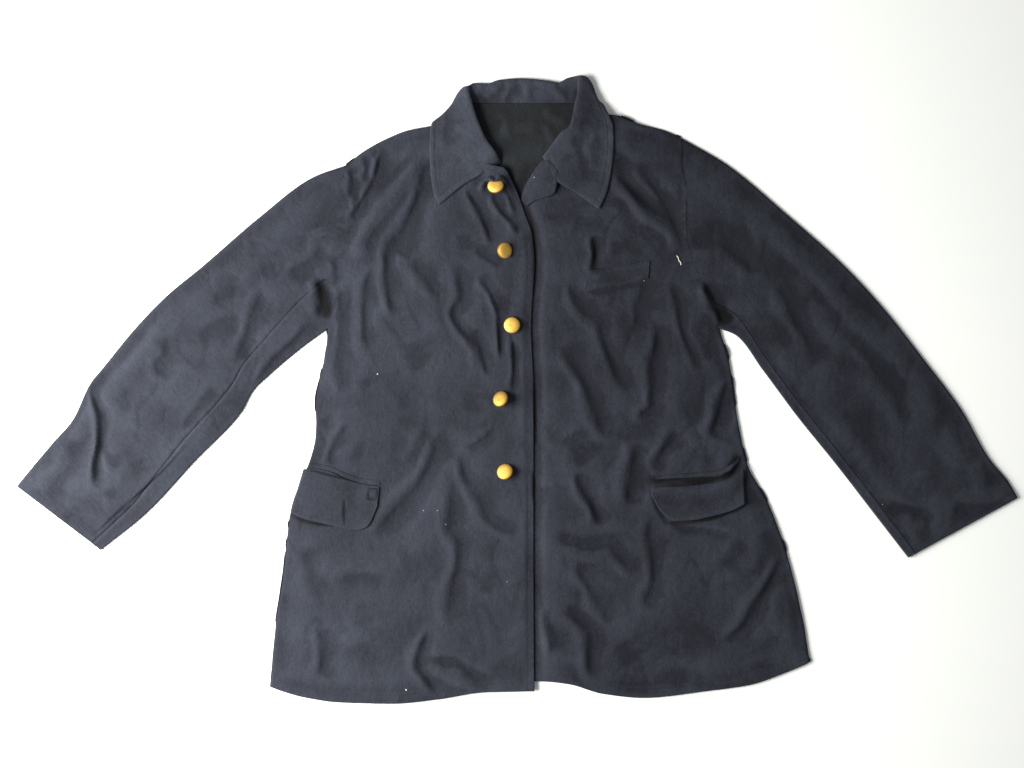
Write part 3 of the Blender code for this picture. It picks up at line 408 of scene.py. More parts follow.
def knot_slopes(knots, values):
    """Slopes at the knots of a curve that never overshoots its points."""
    rise = np.diff(values, axis=0) / np.diff(knots)[:, None]
    before, after = rise[:-1], rise[1:]
    same_way = before * after > 0
    total = np.where(same_way, before + after, 1.0)
    middle = np.where(same_way, 2.0 * before * after / total, 0.0)
    return np.vstack([rise[:1], middle, rise[-1:]])


def smooth_through(knots, values, wanted):
    """Values of a smooth curve through the knots, at the wanted places."""
    knots = np.asarray(knots, dtype=float)
    values = np.asarray(values, dtype=float)
    wanted = np.asarray(wanted, dtype=float)
    slopes = knot_slopes(knots, values)
    span = np.clip(np.searchsorted(knots, wanted, side="right") - 1, 0, len(knots) - 2)
    width = knots[span + 1] - knots[span]
    t = ((wanted - knots[span]) / width)[:, None]
    width = width[:, None]
    start = (2 * t**3 - 3 * t**2 + 1) * values[span] + (t**3 - 2 * t**2 + t) * width * slopes[span]
    end = (3 * t**2 - 2 * t**3) * values[span + 1] + (t**3 - t**2) * width * slopes[span + 1]
    return start + end


def lengths_along(points):
    """How far along a line of points each one lies."""
    steps = np.linalg.norm(np.diff(points, axis=0), axis=1)
    return np.concatenate([[0.0], np.cumsum(steps)])


def length_shares(points):
    """How far along a line of points each one lies, from 0 to 1."""
    along = lengths_along(points)
    return along / along[-1]


def read_at(places, stations, table):
    """Rows of a table, read at places between the stations of its rows."""
    return np.stack([np.interp(places, stations, column) for column in table.T], axis=-1)


def axis_shares(points, axis):
    """How far each point lies between the ends of the line, along one axis."""
    values = points[:, axis]
    return (values - values[0]) / (values[-1] - values[0])


def resampled(points, wanted, axis=None):
    """A smooth line through points, at shares of its length, or of its reach along one axis."""
    shares = length_shares(points) if axis is None else axis_shares(points, axis)
    return smooth_through(shares, points, wanted)


def patch(bottom, top, left, right, across, up):
    """Points inside four edges. The edges are arrays sampled at across and at up."""
    u = across[None, :, None]
    v = up[:, None, None]
    ruled = (1 - v) * bottom[None] + v * top[None] + (1 - u) * left[:, None] + u * right[:, None]
    low = (1 - u) * bottom[0] + u * bottom[-1]
    high = (1 - u) * top[0] + u * top[-1]
    return ruled - (1 - v) * low - v * high


def distance_to_line(points, line):
    """Distance from each point to an open line, and how far along the line it is, 0 to 1."""
    flat = points.reshape(-1, 2)
    start, step = line[:-1], np.diff(line, axis=0)
    square = (step**2).sum(axis=1)
    share = ((flat[:, None] - start) * step).sum(axis=2) / square
    share = np.clip(share, 0.0, 1.0)
    nearest = start + share[..., None] * step
    gaps = np.linalg.norm(flat[:, None] - nearest, axis=2)
    best = gaps.argmin(axis=1)
    rows = np.arange(len(flat))
    stations = length_shares(line)
    along = stations[best] + share[rows, best] * np.diff(stations)[best]
    shape = points.shape[:-1]
    return gaps[rows, best].reshape(shape), along.reshape(shape)


def dense(table, count):
    """A table as a smooth line of count points, in metres."""
    return resampled(place(table), np.linspace(0.0, 1.0, count))


def nearest_line(points, lines):
    """Distance from each point to the nearest of some lines."""
    nearest = np.full(points.shape[:-1], np.inf)
    for line in lines:
        nearest = np.minimum(nearest, distance_to_line(points, line)[0])
    return nearest


def soft_noise(points, size, seed):
    """Smooth random numbers from -1 to 1 that change over the given size."""
    cells = 64
    table = np.random.default_rng(seed).uniform(-1.0, 1.0, (cells, cells))
    turned = np.stack([points[..., 0] * 0.8 + points[..., 1] * 0.6,
                       points[..., 1] * 0.8 - points[..., 0] * 0.6], axis=-1)
    spot = turned / size + cells
    cell = np.floor(spot).astype(int)
    part = ease(spot - cell)
    x0, y0 = cell[..., 0] % cells, cell[..., 1] % cells
    x1, y1 = (x0 + 1) % cells, (y0 + 1) % cells
    low = table[x0, y0] * (1 - part[..., 0]) + table[x1, y0] * part[..., 0]
    high = table[x0, y1] * (1 - part[..., 0]) + table[x1, y1] * part[..., 0]
    return low * (1 - part[..., 1]) + high * part[..., 1]


# Outlines and edges as smooth lines, which the forms of the cloth are measured from
CUFF_RIGHT = [OUTER_RIGHT[0], INNER_RIGHT[0]]
CUFF_LEFT = [OUTER_LEFT[0], INNER_LEFT[0]]
OUTLINE = [dense(table, 24) for table in (
    SIDE_RIGHT, SIDE_LEFT, HEM_RIGHT, HEM_LEFT, SHOULDER_RIGHT, SHOULDER_LEFT, OUTER_RIGHT,
    INNER_RIGHT, OUTER_LEFT, INNER_LEFT, CUFF_RIGHT, CUFF_LEFT)]
ARMHOLE_LINES = {"right": dense(ARMHOLE_RIGHT, 40), "left": dense(ARMHOLE_LEFT, 40)}
FRONT_EDGE = dense(EDGE_RIGHT[:10], 60)
SIDE_LINES = {"right": dense(SIDE_RIGHT, 40), "left": dense(SIDE_LEFT, 40)}
SHOULDER_LINES = {"right": dense(SHOULDER_RIGHT[:5], 30), "left": dense(SHOULDER_LEFT[:4], 30)}

# The back rises over the collar behind it
BED_CENTRE = place((524, 96))
BED_HALF = np.array([130 * MM, 65 * MM])
BED_SLOPE = 42 * MM

# The right front lies over the left one at the centre
OVERLAP = 42 * MM
OVERLAP_SLOPE = 25 * MM
OVERLAP_CLEAR = 2.5 * MM

# Cloth of the wearer's right front stands up over the end of the collar and the first button
NECK_FOLD = (496, 170)
NECK_FOLD_HALF = np.array([15, 13]) * UNIT
NECK_FOLD_HEIGHT = 4.0 * MM

# How far the right front stands over the left one, the ridge of each armhole seam, and how flat
# the cloth is near the front edge
RIGHT_OVER_LEFT = CLOTH + 2 * LAYER_GAP
ARMHOLE_RIDGE = {"right": 0.35 * MM, "left": 0.2 * MM}
NEAR_EDGE = 15 * MM
UNDER_EDGE = 0.18
ARMHOLE_SEED = 71
RIGHT_FOLDS = FRONT_RIGHT_FOLDS + SLEEVE_RIGHT_FOLDS
LEFT_FOLDS = FRONT_LEFT_FOLDS + SLEEVE_LEFT_FOLDS

# The side of a fold that is turned away from the window
SHADED_SIDE = np.array([0.94, -0.34])

# Heights closer than this blend, and folds between these lengths go from soft to sharp
SOFT_FLOOR = 0.3 * MM
SHORT_FOLD = 25 * MM
LONG_FOLD = 75 * MM


def soft_maximum(first, second):
    """The larger of two heights, with the change between them rounded."""
    return SOFT_FLOOR * np.logaddexp(first / SOFT_FLOOR, second / SOFT_FLOOR)


def back_underside(points):
    """Height of the back's underside, which rises over the collar that lies behind it."""
    past = np.abs(points - BED_CENTRE) - BED_HALF
    outside = np.linalg.norm(np.maximum(past, 0.0), axis=-1)
    return COLLAR_BED * (1.0 - ease(outside / BED_SLOPE))


def signed_distance(points, line, towards):
    """Distance from each point to a line, above nought on the side that lies towards a way, and
    how far along the line the point is."""
    gap, along = distance_to_line(points, line)
    stations = length_shares(line)
    segment = np.clip(np.searchsorted(stations, along, side="right") - 1, 0, len(line) - 2)
    step = np.diff(line, axis=0)[segment]
    off = points - line[segment]
    turn = step[..., 0] * off[..., 1] - step[..., 1] * off[..., 0]
    chord = line[-1] - line[0]
    way = 1.0 if chord[0] * towards[1] - chord[1] * towards[0] > 0 else -1.0
    return gap * np.sign(turn) * way, along


# Shape of a fold: how much it swells along its length and how often, how much a long one is
# narrowed, how soon it runs out, how wide its two sides are, the height of a short one, and what a
# long one adds to that
SWELL = 0.22
SWELLS = 1.7
SWELL_SHIFT = 0.37
NARROWED = 0.34
RUN_OUT = 0.2
SHADED_WIDTH = 1.45
LIT_WIDTH = 0.95
FOLD_HEIGHT = 0.75
LONG_EXTRA = 0.85


def folds_on(points, folds):
    """Sum of the folds at each point. A trough falls steeply from a soft crest and rises slowly
    again, and each fold swells and thins along its length."""
    total = np.zeros(points.shape[:-1])
    for number, (half_width, height, line) in enumerate(folds):
        width = half_width * UNIT
        path = dense(line, 4 * len(line))
        reach = 4.5 * width
        inside = (points > path.min(axis=0) - reach) & (points < path.max(axis=0) + reach)
        near = np.all(inside, axis=-1)
        if not near.any():
            continue
        gap, along = signed_distance(points[near], path, SHADED_SIDE)
        length = np.linalg.norm(np.diff(path, axis=0), axis=1).sum()
        sharp = ease((length - SHORT_FOLD) / LONG_FOLD)
        turns = SWELLS * along + SWELL_SHIFT * number
        swelling = 1.0 + SWELL * np.sin(2 * math.pi * turns)
        local = (1.0 - NARROWED * sharp) * width * swelling
        taper = ease(along / RUN_OUT) * ease((1.0 - along) / RUN_OUT)
        if height < 0:
            across = gap / local / np.where(gap > 0, SHADED_WIDTH, LIT_WIDTH)
            shape = 0.5 * across * np.exp(0.5 * (1.0 - across**2))
            shape += 0.38 * np.exp(-(across**2) / 1.6)
        else:
            shape = bell(gap, local) - 0.25 * bell(np.abs(gap) - 1.9 * local, local)
        total[near] += (FOLD_HEIGHT + LONG_EXTRA * sharp) * height * MM * taper * shape
    return total


def sway(points, size, seeds):
    """A soft shift to the sides, from one pattern for each axis."""
    return np.stack([soft_noise(points, size, seed) for seed in seeds], -1)


# Heights in mm of the unevenness of slack cloth, from the slowest to the finest
SLACK_HEIGHT = 0.95
BROAD_HEIGHT = 0.4
CREASE_DEPTH = 0.62
FINE_HEIGHT = 0.14


def crumple(points, seed):
    """The slight unevenness of worn cloth that lies slack."""
    warp = sway(points, 60 * MM, (seed + 1, seed + 2))
    bent = points + 14 * MM * warp
    broad = soft_noise(bent * np.array([1.0, 0.5]), 30 * MM, seed + 3)
    creases = np.exp(-np.abs(soft_noise(bent * np.array([1.0, 0.45]), 22 * MM, seed + 4)) / 0.17)
    creases *= ease(0.55 + 0.9 * soft_noise(points, 55 * MM, seed + 7))
    fine = soft_noise(bent, 6 * MM, seed + 5)
    slack = soft_noise(points + 25 * MM * warp, 62 * MM, seed + 6)
    uneven = SLACK_HEIGHT * slack + BROAD_HEIGHT * broad - CREASE_DEPTH * creases
    return (uneven + FINE_HEIGHT * fine) * MM


def loft_on(points, folds):
    """How far the upper layer stands off the lower one, with its folds."""
    edge = nearest_line(points, OUTLINE)
    share = ease(edge / LOFT_REACH)
    shaped = (folds_on(points, folds) + crumple(points, 10)) * ease(edge / FOLD_REACH + 0.12)
    swell = EDGE_HEIGHT + (LOFT_HEIGHT - EDGE_HEIGHT) * share + shaped
    return soft_maximum(swell, 0.0)


def turned_over(points, height, lines):
    """Rounds a turned edge down to the table."""
    near = np.clip(nearest_line(points, lines) / TURN_RADIUS, 0.0, 1.0)
    return height * np.sqrt(1.0 - (1.0 - near) ** 2)


def seam_relief(points, line, ridge, seed):
    """A sewn seam: its turnings lift the cloth beside it and the stitches pucker it."""
    gap, along = distance_to_line(points, line)
    puckers = soft_noise(np.stack([along * 0.6, gap * 0.3], -1), 8 * MM, seed)
    beside = bell(gap, 5 * MM) * (0.55 + 0.45 * puckers)
    return ridge * beside + 0.3 * MM * puckers * bell(gap, 11 * MM)


def upper_underside(points, swell):
    """Underside of an upper layer that stands off the back by a swell."""
    return back_underside(points) + CLOTH + LAYER_GAP + swell


def front_underside(points, side, swell):
    """Underside of a front, with its armhole seam and its turned edges."""
    height = upper_underside(points, swell)
    height += seam_relief(points, ARMHOLE_LINES[side], ARMHOLE_RIDGE[side], ARMHOLE_SEED)
    if side == "right":
        from_neck = np.linalg.norm((points - place(NECK_FOLD)) / NECK_FOLD_HALF, axis=-1)
        height += NECK_FOLD_HEIGHT * (1.0 - ease(from_neck - 0.4))
    return turned_over(points, height, [SIDE_LINES[side], SHOULDER_LINES[side]])


def right_front_underside(points):
    """The wearer's right front lies on top at the centre."""
    from_edge = distance_to_line(points, FRONT_EDGE)[0]
    least = RIGHT_OVER_LEFT * (1.0 - ease((from_edge - OVERLAP) / OVERLAP_SLOPE))
    flatter = 1.0 - 0.8 * (1.0 - ease(from_edge / NEAR_EDGE))
    swell = soft_maximum(loft_on(points, RIGHT_FOLDS) * flatter, least)
    return front_underside(points, "right", swell)


def left_front_underside(points):
    """The wearer's left front dips under the other one at the centre."""
    edge_x = np.interp(points[..., 1], FRONT_EDGE[:, 1], FRONT_EDGE[:, 0])
    past = points[..., 0] - edge_x - OVERLAP_CLEAR
    clear = UNDER_EDGE + (1.0 - UNDER_EDGE) * ease(past / NEAR_EDGE)
    return front_underside(points, "left", loft_on(points, LEFT_FOLDS) * clear)


# Distances from an edge, in mm, of the closer rows that draw its rounding
FINE_STEPS = np.array([0.0, 0.3, 0.7, 1.2, 1.9, 2.8, 4.0]) * MM


def spaced(length, count, start=True, end=True):
    """Shares from 0 to 1 along a length, closer together at an edge that is rounded."""
    fine = FINE_STEPS[FINE_STEPS < 0.3 * length] / length
    first = fine if start else fine[:1]
    last = 1.0 - fine[::-1] if end else np.array([1.0])
    middle = np.linspace(first[-1], last[0], count + 2)[1:-1]
    return np.concatenate([first, middle, last])


def edge_first(grid, side):
    """The same grid, seen so that its rows start at one of its sides."""
    if side == "first row":
        return grid
    if side == "last row":
        return grid[::-1]
    if side == "first column":
        return grid.transpose(1, 0, 2)
    return grid[:, ::-1].transpose(1, 0, 2)


def distance_in(rows):
    """How far each point lies from the first row, along its column."""
    steps = np.linalg.norm(np.diff(rows[..., :2], axis=0), axis=-1)
    return np.vstack([np.zeros((1, rows.shape[1])), np.cumsum(steps, axis=0)])


EDGE_ROUND = 1.8 * MM


def finish_edge(grid, side, inset, drop=0.9 * MM, band=0.45 * MM, groove=0.5 * MM):
    """A turned and stitched edge: it rounds down at the end, the doubled cloth stands up a
    little, and the line of stitches sinks in."""
    rows = edge_first(grid, side)
    away = distance_in(rows)
    rounding = 1.0 - np.sqrt(1.0 - (1.0 - np.clip(away / EDGE_ROUND, 0.0, 1.0)) ** 2)
    doubled = 1.0 - ease((away - inset - 1.5 * MM) / (2.5 * MM))
    line = bell(away - inset, 1.3 * MM)
    wave = 0.22 * MM * soft_noise(rows[..., :2], 8 * MM, 90) * bell(away, inset)
    rows[..., 2] += band * doubled - groove * line - drop * rounding + wave


def normals_of(grid):
    """Upward normals of a grid."""
    across = np.gradient(grid, axis=1)
    up = np.gradient(grid, axis=0)
    normal = unit(np.cross(across, up))
    return normal * np.where(normal[..., 2:] < 0, -1.0, 1.0)


def line_in(grid, side, inset):
    """A line that keeps a distance from one side of a grid: its points and normals."""
    rows = edge_first(grid, side)
    normals = edge_first(normals_of(grid), side)
    away = distance_in(rows)
    columns = range(rows.shape[1])
    points = [read_at(inset, away[:, column], rows[:, column]) for column in columns]
    ups = [read_at(inset, away[:, column], normals[:, column]) for column in columns]
    return np.array(points), np.array(ups)


def blurred(values, radius, rounds=2):
    """Values of a grid, averaged with their neighbours."""
    for _ in range(rounds):
        for axis in (0, 1):
            padding = [(radius, radius) if k == axis else (0, 0) for k in (0, 1)]
            padded = np.pad(values, padding, mode="edge")
            count = values.shape[axis]
            values = sum(np.take(padded, range(k, k + count), axis=axis)
                         for k in range(2 * radius + 1)) / (2 * radius + 1)
    return values


def trees_of(*pieces):
    """Search trees of finished shells, to lay the next pieces on."""
    return [BVHTree.FromPolygons([v.co for v in piece.data.vertices],
                                 [p.vertices for p in piece.data.polygons]) for piece in pieces]


SKY = 0.1


def highest(points, trees, reach=0.0):
    """Highest cloth at each point, or within reach of it."""
    ring = [(0.0, 0.0)]
    if reach:
        turns = [k * math.pi / 4 for k in range(8)]
        ring += [(reach * math.cos(turn), reach * math.sin(turn)) for turn in turns]
    flat = points.reshape(-1, 2)
    found = np.zeros(len(flat))
    for row, (x, y) in enumerate(flat):
        for across, up in ring:
            for tree in trees:
                hit = tree.ray_cast(Vector((x + across, y + up, SKY)), Vector((0, 0, -1)))[0]
                if hit is not None:
                    found[row] = max(found[row], hit.z)
    return found.reshape(points.shape[:-1])


# Materials


def linear(code):
    """An sRGB hex colour as linear values."""
    values = [int(code[k:k + 2], 16) / 255 for k in (1, 3, 5)]
    return (*(v / 12.92 if v <= 0.04045 else ((v + 0.055) / 1.055) ** 2.4 for v in values), 1.0)


def set_inputs(tree, node, inputs):
    """Sets inputs of a node, each to a value or to a link from another node."""
    for name, value in inputs.items():
        if isinstance(value, bpy.types.NodeSocket):
            tree.links.new(value, node.inputs[name])
        else:
            node.inputs[name].default_value = value


def add_node(tree, kind, settings=None, inputs=None):
    """Adds a shader node with its settings, and its inputs as values or links."""
    node = tree.nodes.new(kind)
    for name, value in (settings or {}).items():
        setattr(node, name, value)
    set_inputs(tree, node, inputs or {})
    return node


def noise(tree, lay, size, detail, roughness=0.5, distortion=0.0):
    """Soft noise with features of one size, in metres."""
    inputs = {"Vector": lay, "Scale": 1 / size, "Detail": detail, "Roughness": roughness,
              "Distortion": distortion}
    return add_node(tree, "ShaderNodeTexNoise", None, inputs).outputs["Fac"]


def arithmetic(tree, operation, *values, clamp=False):
    """One step of arithmetic."""
    settings = {"operation": operation, "use_clamp": clamp}
    return add_node(tree, "ShaderNodeMath", settings, dict(enumerate(values))).outputs[0]


def blend(tree, factor, first, second):
    """A colour between two."""
    inputs = {"Factor": factor, "A": first, "B": second}
    return add_node(tree, "ShaderNodeMix", {"data_type": "RGBA"}, inputs).outputs["Result"]


def spread(tree, value, start, end, low, high, change="LINEAR"):
    """A value from start to end, spread from low to high."""
    inputs = {"Value": value, "From Min": start, "From Max": end, "To Min": low, "To Max": high}
    settings = {"interpolation_type": change}
    return add_node(tree, "ShaderNodeMapRange", settings, inputs).outputs["Result"]


def bumps(tree, height, strength, distance, below=None):
    """The normals of small bumps, which may lie on other bumps."""
    inputs = {"Height": height, "Strength": strength, "Distance": distance}
    if below is not None:
        inputs["Normal"] = below
    return add_node(tree, "ShaderNodeBump", None, inputs).outputs["Normal"]


def new_material(name):
    """An empty material, with its node tree, its shader and the object's own coordinates."""
    made = bpy.data.materials.new(name)
    made.use_nodes = True
    tree = made.node_tree
    here = add_node(tree, "ShaderNodeTexCoord").outputs["Object"]
    return made, tree, tree.nodes["Principled BSDF"], here


# Real threads are 0.5 mm apart, too fine to be seen from here, so they are drawn 1.1 mm apart
THREAD_SPACING = 1.1 * MM
WAVES_PER_METRE = 2 * math.pi / 20.0

# Slubs in the yarn are 2 mm wide and 16 mm long
SLUBS_PER_METRE = (1 / 0.002, 1 / 0.016, 1.0)

# Painted light: the wearer's right half, towards the window, is painted lighter and the left half a
# little
# # darker, the skirt and the end of the wearer's left sleeve are painted lighter, and each changes
# slowly:
# # axis, where the change starts and ends, and what it adds at either end
PAINTED_LIGHT_PARTS = [("X", -0.084, 0.128, 0.16, -0.06), ("Y", -0.33, 0.02, 0.09, 0.0),
               ("X", 0.25, 0.45, 0.0, 0.07)]


def woven_cotton(name, deep, worn, fade, dull):
    """Plain-woven cotton, worn thin and washed: matt, with a soft bloom where light grazes it.
    Ridges and edges are worn lighter, troughs and the painted shade lines are darkened as painted
    shade, the side towards the window, the skirt and a sleeve end are painted lighter as light, and
    the colour is cloudy and slightly streaky."""
    made, tree, shader, here = new_material(name)
    lay = add_node(tree, "ShaderNodeUVMap", {"uv_map": "cloth"}).outputs["UV"]
    wear_and_shade = add_node(tree, "ShaderNodeAttribute", {"attribute_name": "wear_and_shade"}).outputs["Fac"]
    waves = {"Vector": lay, "Scale": WAVES_PER_METRE / THREAD_SPACING, "Distortion": 0.6,
             "Detail": 1.0, "Detail Scale": 0.8}
    threads = [add_node(tree, "ShaderNodeTexWave", {"bands_direction": way}, waves).outputs["Fac"]
               for way in "XY"]
    drawn_out = add_node(tree, "ShaderNodeMapping", None, {"Vector": lay, "Scale": SLUBS_PER_METRE})
    slubs = noise(tree, drawn_out.outputs["Vector"], 1.0, 3.0, 0.6)
    fuzz = noise(tree, here, 0.0032, 4.0, 0.68)
    clouds = noise(tree, here, 0.045, 4.0, 0.55, 0.4)
    broad = noise(tree, here, 0.19, 2.0)
    rumple = noise(tree, here, 0.011, 3.0, 0.5, 0.8)

    fading_and_painted_light = arithmetic(tree, "MULTIPLY_ADD", clouds, 0.85, -0.45)
    # Ridges are worn lighter, and troughs are darker as painted shade
    for pattern, amount in ((broad, 0.5), (wear_and_shade, 0.30), (fuzz, 0.55)):
        fading_and_painted_light = arithmetic(tree, "MULTIPLY_ADD", pattern, amount, fading_and_painted_light)
    sides = add_node(tree, "ShaderNodeSeparateXYZ", None, {"Vector": here})
    # Painted light: lighter towards the window, in the skirt and at the far sleeve end
    for axis, start, end, pale, dark in PAINTED_LIGHT_PARTS:
        painted_light = spread(tree, sides.outputs[axis], start, end, pale, dark, "SMOOTHSTEP")
        fading_and_painted_light = arithmetic(tree, "ADD", fading_and_painted_light, painted_light)
    fading_and_painted_light = arithmetic(tree, "SUBTRACT", fading_and_painted_light, fade, clamp=True)
    streaks = spread(tree, slubs, 0.3, 0.7, 0.9, 1.1)
    # Painted shade: the colour falls towards black along the painted shade lines
    depth = spread(tree, wear_and_shade, -1.6, -0.1, 0.12, 1.0)
    shade = arithmetic(tree, "MULTIPLY", streaks, depth)
    colour = add_node(tree, "ShaderNodeVectorMath", {"operation": "SCALE"},
                      {0: blend(tree, fading_and_painted_light, linear(deep), linear(worn)), "Scale": shade})

    weave = arithmetic(tree, "MULTIPLY", *threads)
    grain = arithmetic(tree, "MULTIPLY_ADD", slubs, 0.8, weave)
    woven = bumps(tree, grain, 0.75, 0.4 * MM)
    set_inputs(tree, shader, {
        "Base Color": colour.outputs["Vector"],
        "Roughness": spread(tree, clouds, 0.3, 0.7, dull - 0.06, dull + 0.05),
        "Normal": bumps(tree, rumple, 0.75, 1.3 * MM, woven),
        "Specular IOR Level": 0.22, "Sheen Weight": 0.12, "Sheen Roughness": 0.45,
        "Sheen Tint": linear("#8f949e")})
    return made


def uneven_material(name, size, detail, first, second, roughness, specular=0.5):
    """A matt material whose colour wanders between two, over places of one size."""
    made, tree, shader, here = new_material(name)
    colour = blend(tree, noise(tree, here, size, detail), linear(first), linear(second))
    set_inputs(tree, shader, {"Base Color": colour, "Roughness": roughness,
                              "Specular IOR Level": specular})
    return made


def stamped_brass():
    """Stamped brass that has been worn bright on the dome and has darkened round the rim. Whole
    buttons that face the window are painted darker as shade.
    """
    made, tree, shader, here = new_material("Stamped brass")
    rub_and_shade = add_node(tree, "ShaderNodeAttribute", {"attribute_name": "wear_and_shade"}).outputs["Fac"]
    tarnish = noise(tree, here, 0.004, 5.0, 0.65)
    dark = arithmetic(tree, "MULTIPLY_ADD", tarnish, 1.5, -0.60, clamp=True)
    bright = blend(tree, dark, linear("#ecca6c"), linear("#c08f3c"))
    scratches = noise(tree, here, 0.0012, 3.0)
    set_inputs(tree, shader, {
        "Base Color": blend(tree, rub_and_shade, linear("#7c5b25"), bright),
        "Roughness": spread(tree, tarnish, 0.3, 0.75, 0.62, 0.78),
        "Normal": bumps(tree, scratches, 0.25, 0.1 * MM), "Metallic": 1.0})
    return made


NAVY = woven_cotton("Woven navy cotton", "#14151e", "#373b45", 0.45, 0.9)
RUBBED_NAVY = woven_cotton("Rubbed woven navy cotton", "#15161f", "#3a3e48", 0.31, 0.9)
# The inner face is greener than the outside, and darker as painted shade for the inside of the back
# seen under the collar
INSIDE_IN_SHADE = woven_cotton("Inner face of woven cotton in painted shade", "#101215", "#292d31", 0.50, 0.92)
BRASS = stamped_brass()

# Twisted sewing thread, a little faded, so it shows only as a fine uneven line
THREAD = uneven_material("Twisted cotton thread", 0.02, 3.0, "#14141c", "#2e2f39", 0.7)

# Undyed fluff and thread ends, which show as pale specks
FLUFF = uneven_material("Undyed cotton fluff", 0.002, 2.0, "#b9b6ab", "#f2f0e8", 0.9)

# Pressed paper on the table top, matt and almost even
PAPER = uneven_material("Matt white paper", 1 / 3, 3.0, "#e9ece9", "#f1f2f0", 0.8, 0.2)


# Shells


def wear_and_shade_of(grid, thickness, painted_shade_lines):
    """How far a ridge is worn lighter, from 0 in a trough to 1 on a crest, so that troughs also get
    painted shade, and below 0 along the painted shade lines of pocket mouths, armpits, creases and
    edge shadows."""
    local = grid[..., 2] - blurred(grid[..., 2], 6)
    wear_and_shade = np.clip(0.5 + local / (0.7 * thickness), 0.0, 1.0)
    for half_width, line in painted_shade_lines:
        away, along = distance_to_line(grid[..., :2], dense(line, 24))
        fall = 0.4 + 0.6 * np.sin(math.pi * along)
        wear_and_shade -= 2.6 * fall * bell(away, half_width * UNIT)
    return wear_and_shade


def select_only(piece):
    """Selects one object and nothing else."""
    bpy.ops.object.select_all(action="DESELECT")
    piece.select_set(True)
    bpy.context.view_layer.objects.active = piece


def add_object(name, data):
    """Adds an object to the scene."""
    made = bpy.data.objects.new(name, data)
    bpy.context.scene.collection.objects.link(made)
    return made


def cloth_shell(node, grid, thickness, offset, grain, surfaces):
    """A sheet of cloth from its grid of points, in place of the node. Its UV map is the lay of the
    cloth in metres, turned to its grain. An offset of -1 makes the grid the upper face, and 0 the
    middle."""
    name = f"{node}_shell"
    rows, columns = grid.shape[:2]
    corner = (np.arange(rows - 1)[:, None] * columns + np.arange(columns - 1)[None]).ravel()
    faces = np.stack([corner, corner + 1, corner + columns + 1, corner + columns], axis=1)
    if offset < 0:
        across = grid[:-1, 1:] - grid[:-1, :-1]
        up = grid[1:, :-1] - grid[:-1, :-1]
        if np.cross(across, up)[..., 2].sum() < 0:
            faces = faces[:, ::-1]
    mesh = bpy.data.meshes.new(name)
    mesh.from_pydata(grid.reshape(-1, 3).tolist(), [], faces.tolist())
    loops = np.empty(len(mesh.loops), dtype=np.int32)
    mesh.loops.foreach_get("vertex_index", loops)
    flat_points = grid.reshape(-1, 3)[:, :2]
    turned = np.stack([flat_points @ [math.cos(grain), math.sin(grain)],
                       flat_points @ [-math.sin(grain), math.cos(grain)]], axis=1)
    mesh.uv_layers.new(name="cloth").data.foreach_set("uv", turned[loops].ravel())
    # Each point gets how far it is worn lighter, with painted shade in troughs and along the
    # painted shade lines
    wear_and_shade = mesh.attributes.new("wear_and_shade", "FLOAT", "POINT")
    painted_shade_lines = PAINTED_SHADE_LINES if node.startswith(("front", "sleeve")) else FLAP_SHADE_MARKS.get(node, [])
    wear_and_shade.data.foreach_set("value", wear_and_shade_of(grid, thickness, painted_shade_lines).ravel())
    for surface in surfaces:
        mesh.materials.append(surface)
    piece = add_object(name, mesh)
    wall = piece.modifiers.new("Cloth", "SOLIDIFY")
    wall.thickness = thickness
    wall.offset = offset
    wall.use_even_offset = False
    wall.material_offset = len(surfaces) - 1
    select_only(piece)
    bpy.ops.object.modifier_apply(modifier="Cloth")
    heights = np.empty(len(piece.data.vertices) * 3)
    piece.data.vertices.foreach_get("co", heights)
    heights[2::3] = np.maximum(heights[2::3], TABLE_CLEAR)
    piece.data.vertices.foreach_set("co", heights)
    piece.data.update()
    bpy.ops.object.shade_smooth_by_angle(angle=math.radians(60))
    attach(piece, "root")
    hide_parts(node)
    return piece


# Cloth never sinks into the table top, and a side seam wavers by a ruffle
TABLE_CLEAR = 0.05 * MM
RUFFLE = 1.1 * MM
RUFFLE_SIZE = 17 * MM
RUFFLE_REACH = 16 * MM

# Distances of the stitches from the edges
HEM_INSET = 10 * UNIT
FRONT_INSET = 7.6 * UNIT
CUFF_INSET = 8 * UNIT
LEAF_INSET = 6 * UNIT
FLAP_INSET = 5.5 * UNIT
LAPEL_INSET = 5 * UNIT
JET_INSET = 2 * MM
WELT_INSET = 2.5 * MM


def ruffled(plan, seam):
    """A puckered side seam leaves the outline slightly uneven."""
    near = 1.0 - ease(nearest_line(plan, [seam]) / RUFFLE_REACH)
    return plan + RUFFLE * sway(plan, RUFFLE_SIZE, (91, 92)) * near[..., None]


def front_grid(side, armhole, shoulder, hem, edge):
    """Points of a front, from side seam and armhole to its front edge and neckline."""
    outer = np.vstack([place(side), place(armhole)[1:]])
    up = spaced(abs(outer[-1, 1] - outer[0, 1]), 292)
    outer = resampled(outer, up, 1)
    inner = resampled(place(edge), up, 1)
    low = place(hem)
    across = spaced(abs(low[-1, 0] - low[0, 0]), 122)
    low = resampled(low, across, 0)
    high = resampled(place(shoulder), across, 0)
    return ruffled(patch(low, high, outer, inner, across, up), outer)


def upper_surface(plan, underside):
    """Upper face of a shell that stands on the given underside."""
    return np.dstack([plan, underside + SHELL])


def make_front(side, underside, tables, turned):
    """A front. turned gives its turned edges, with the distance of the stitches."""
    plan = front_grid(*tables)
    grid = upper_surface(plan, underside(plan))
    for edge, inset in turned.items():
        finish_edge(grid, edge, inset)
    return cloth_shell(f"front_{side}", grid, SHELL, -1, 0.0, [NAVY]), grid


def drawn_in(line, towards, amount):
    """A line whose points are all moved by an amount towards one place."""
    aim = towards - line
    return line + aim / np.linalg.norm(aim, axis=1)[:, None] * amount


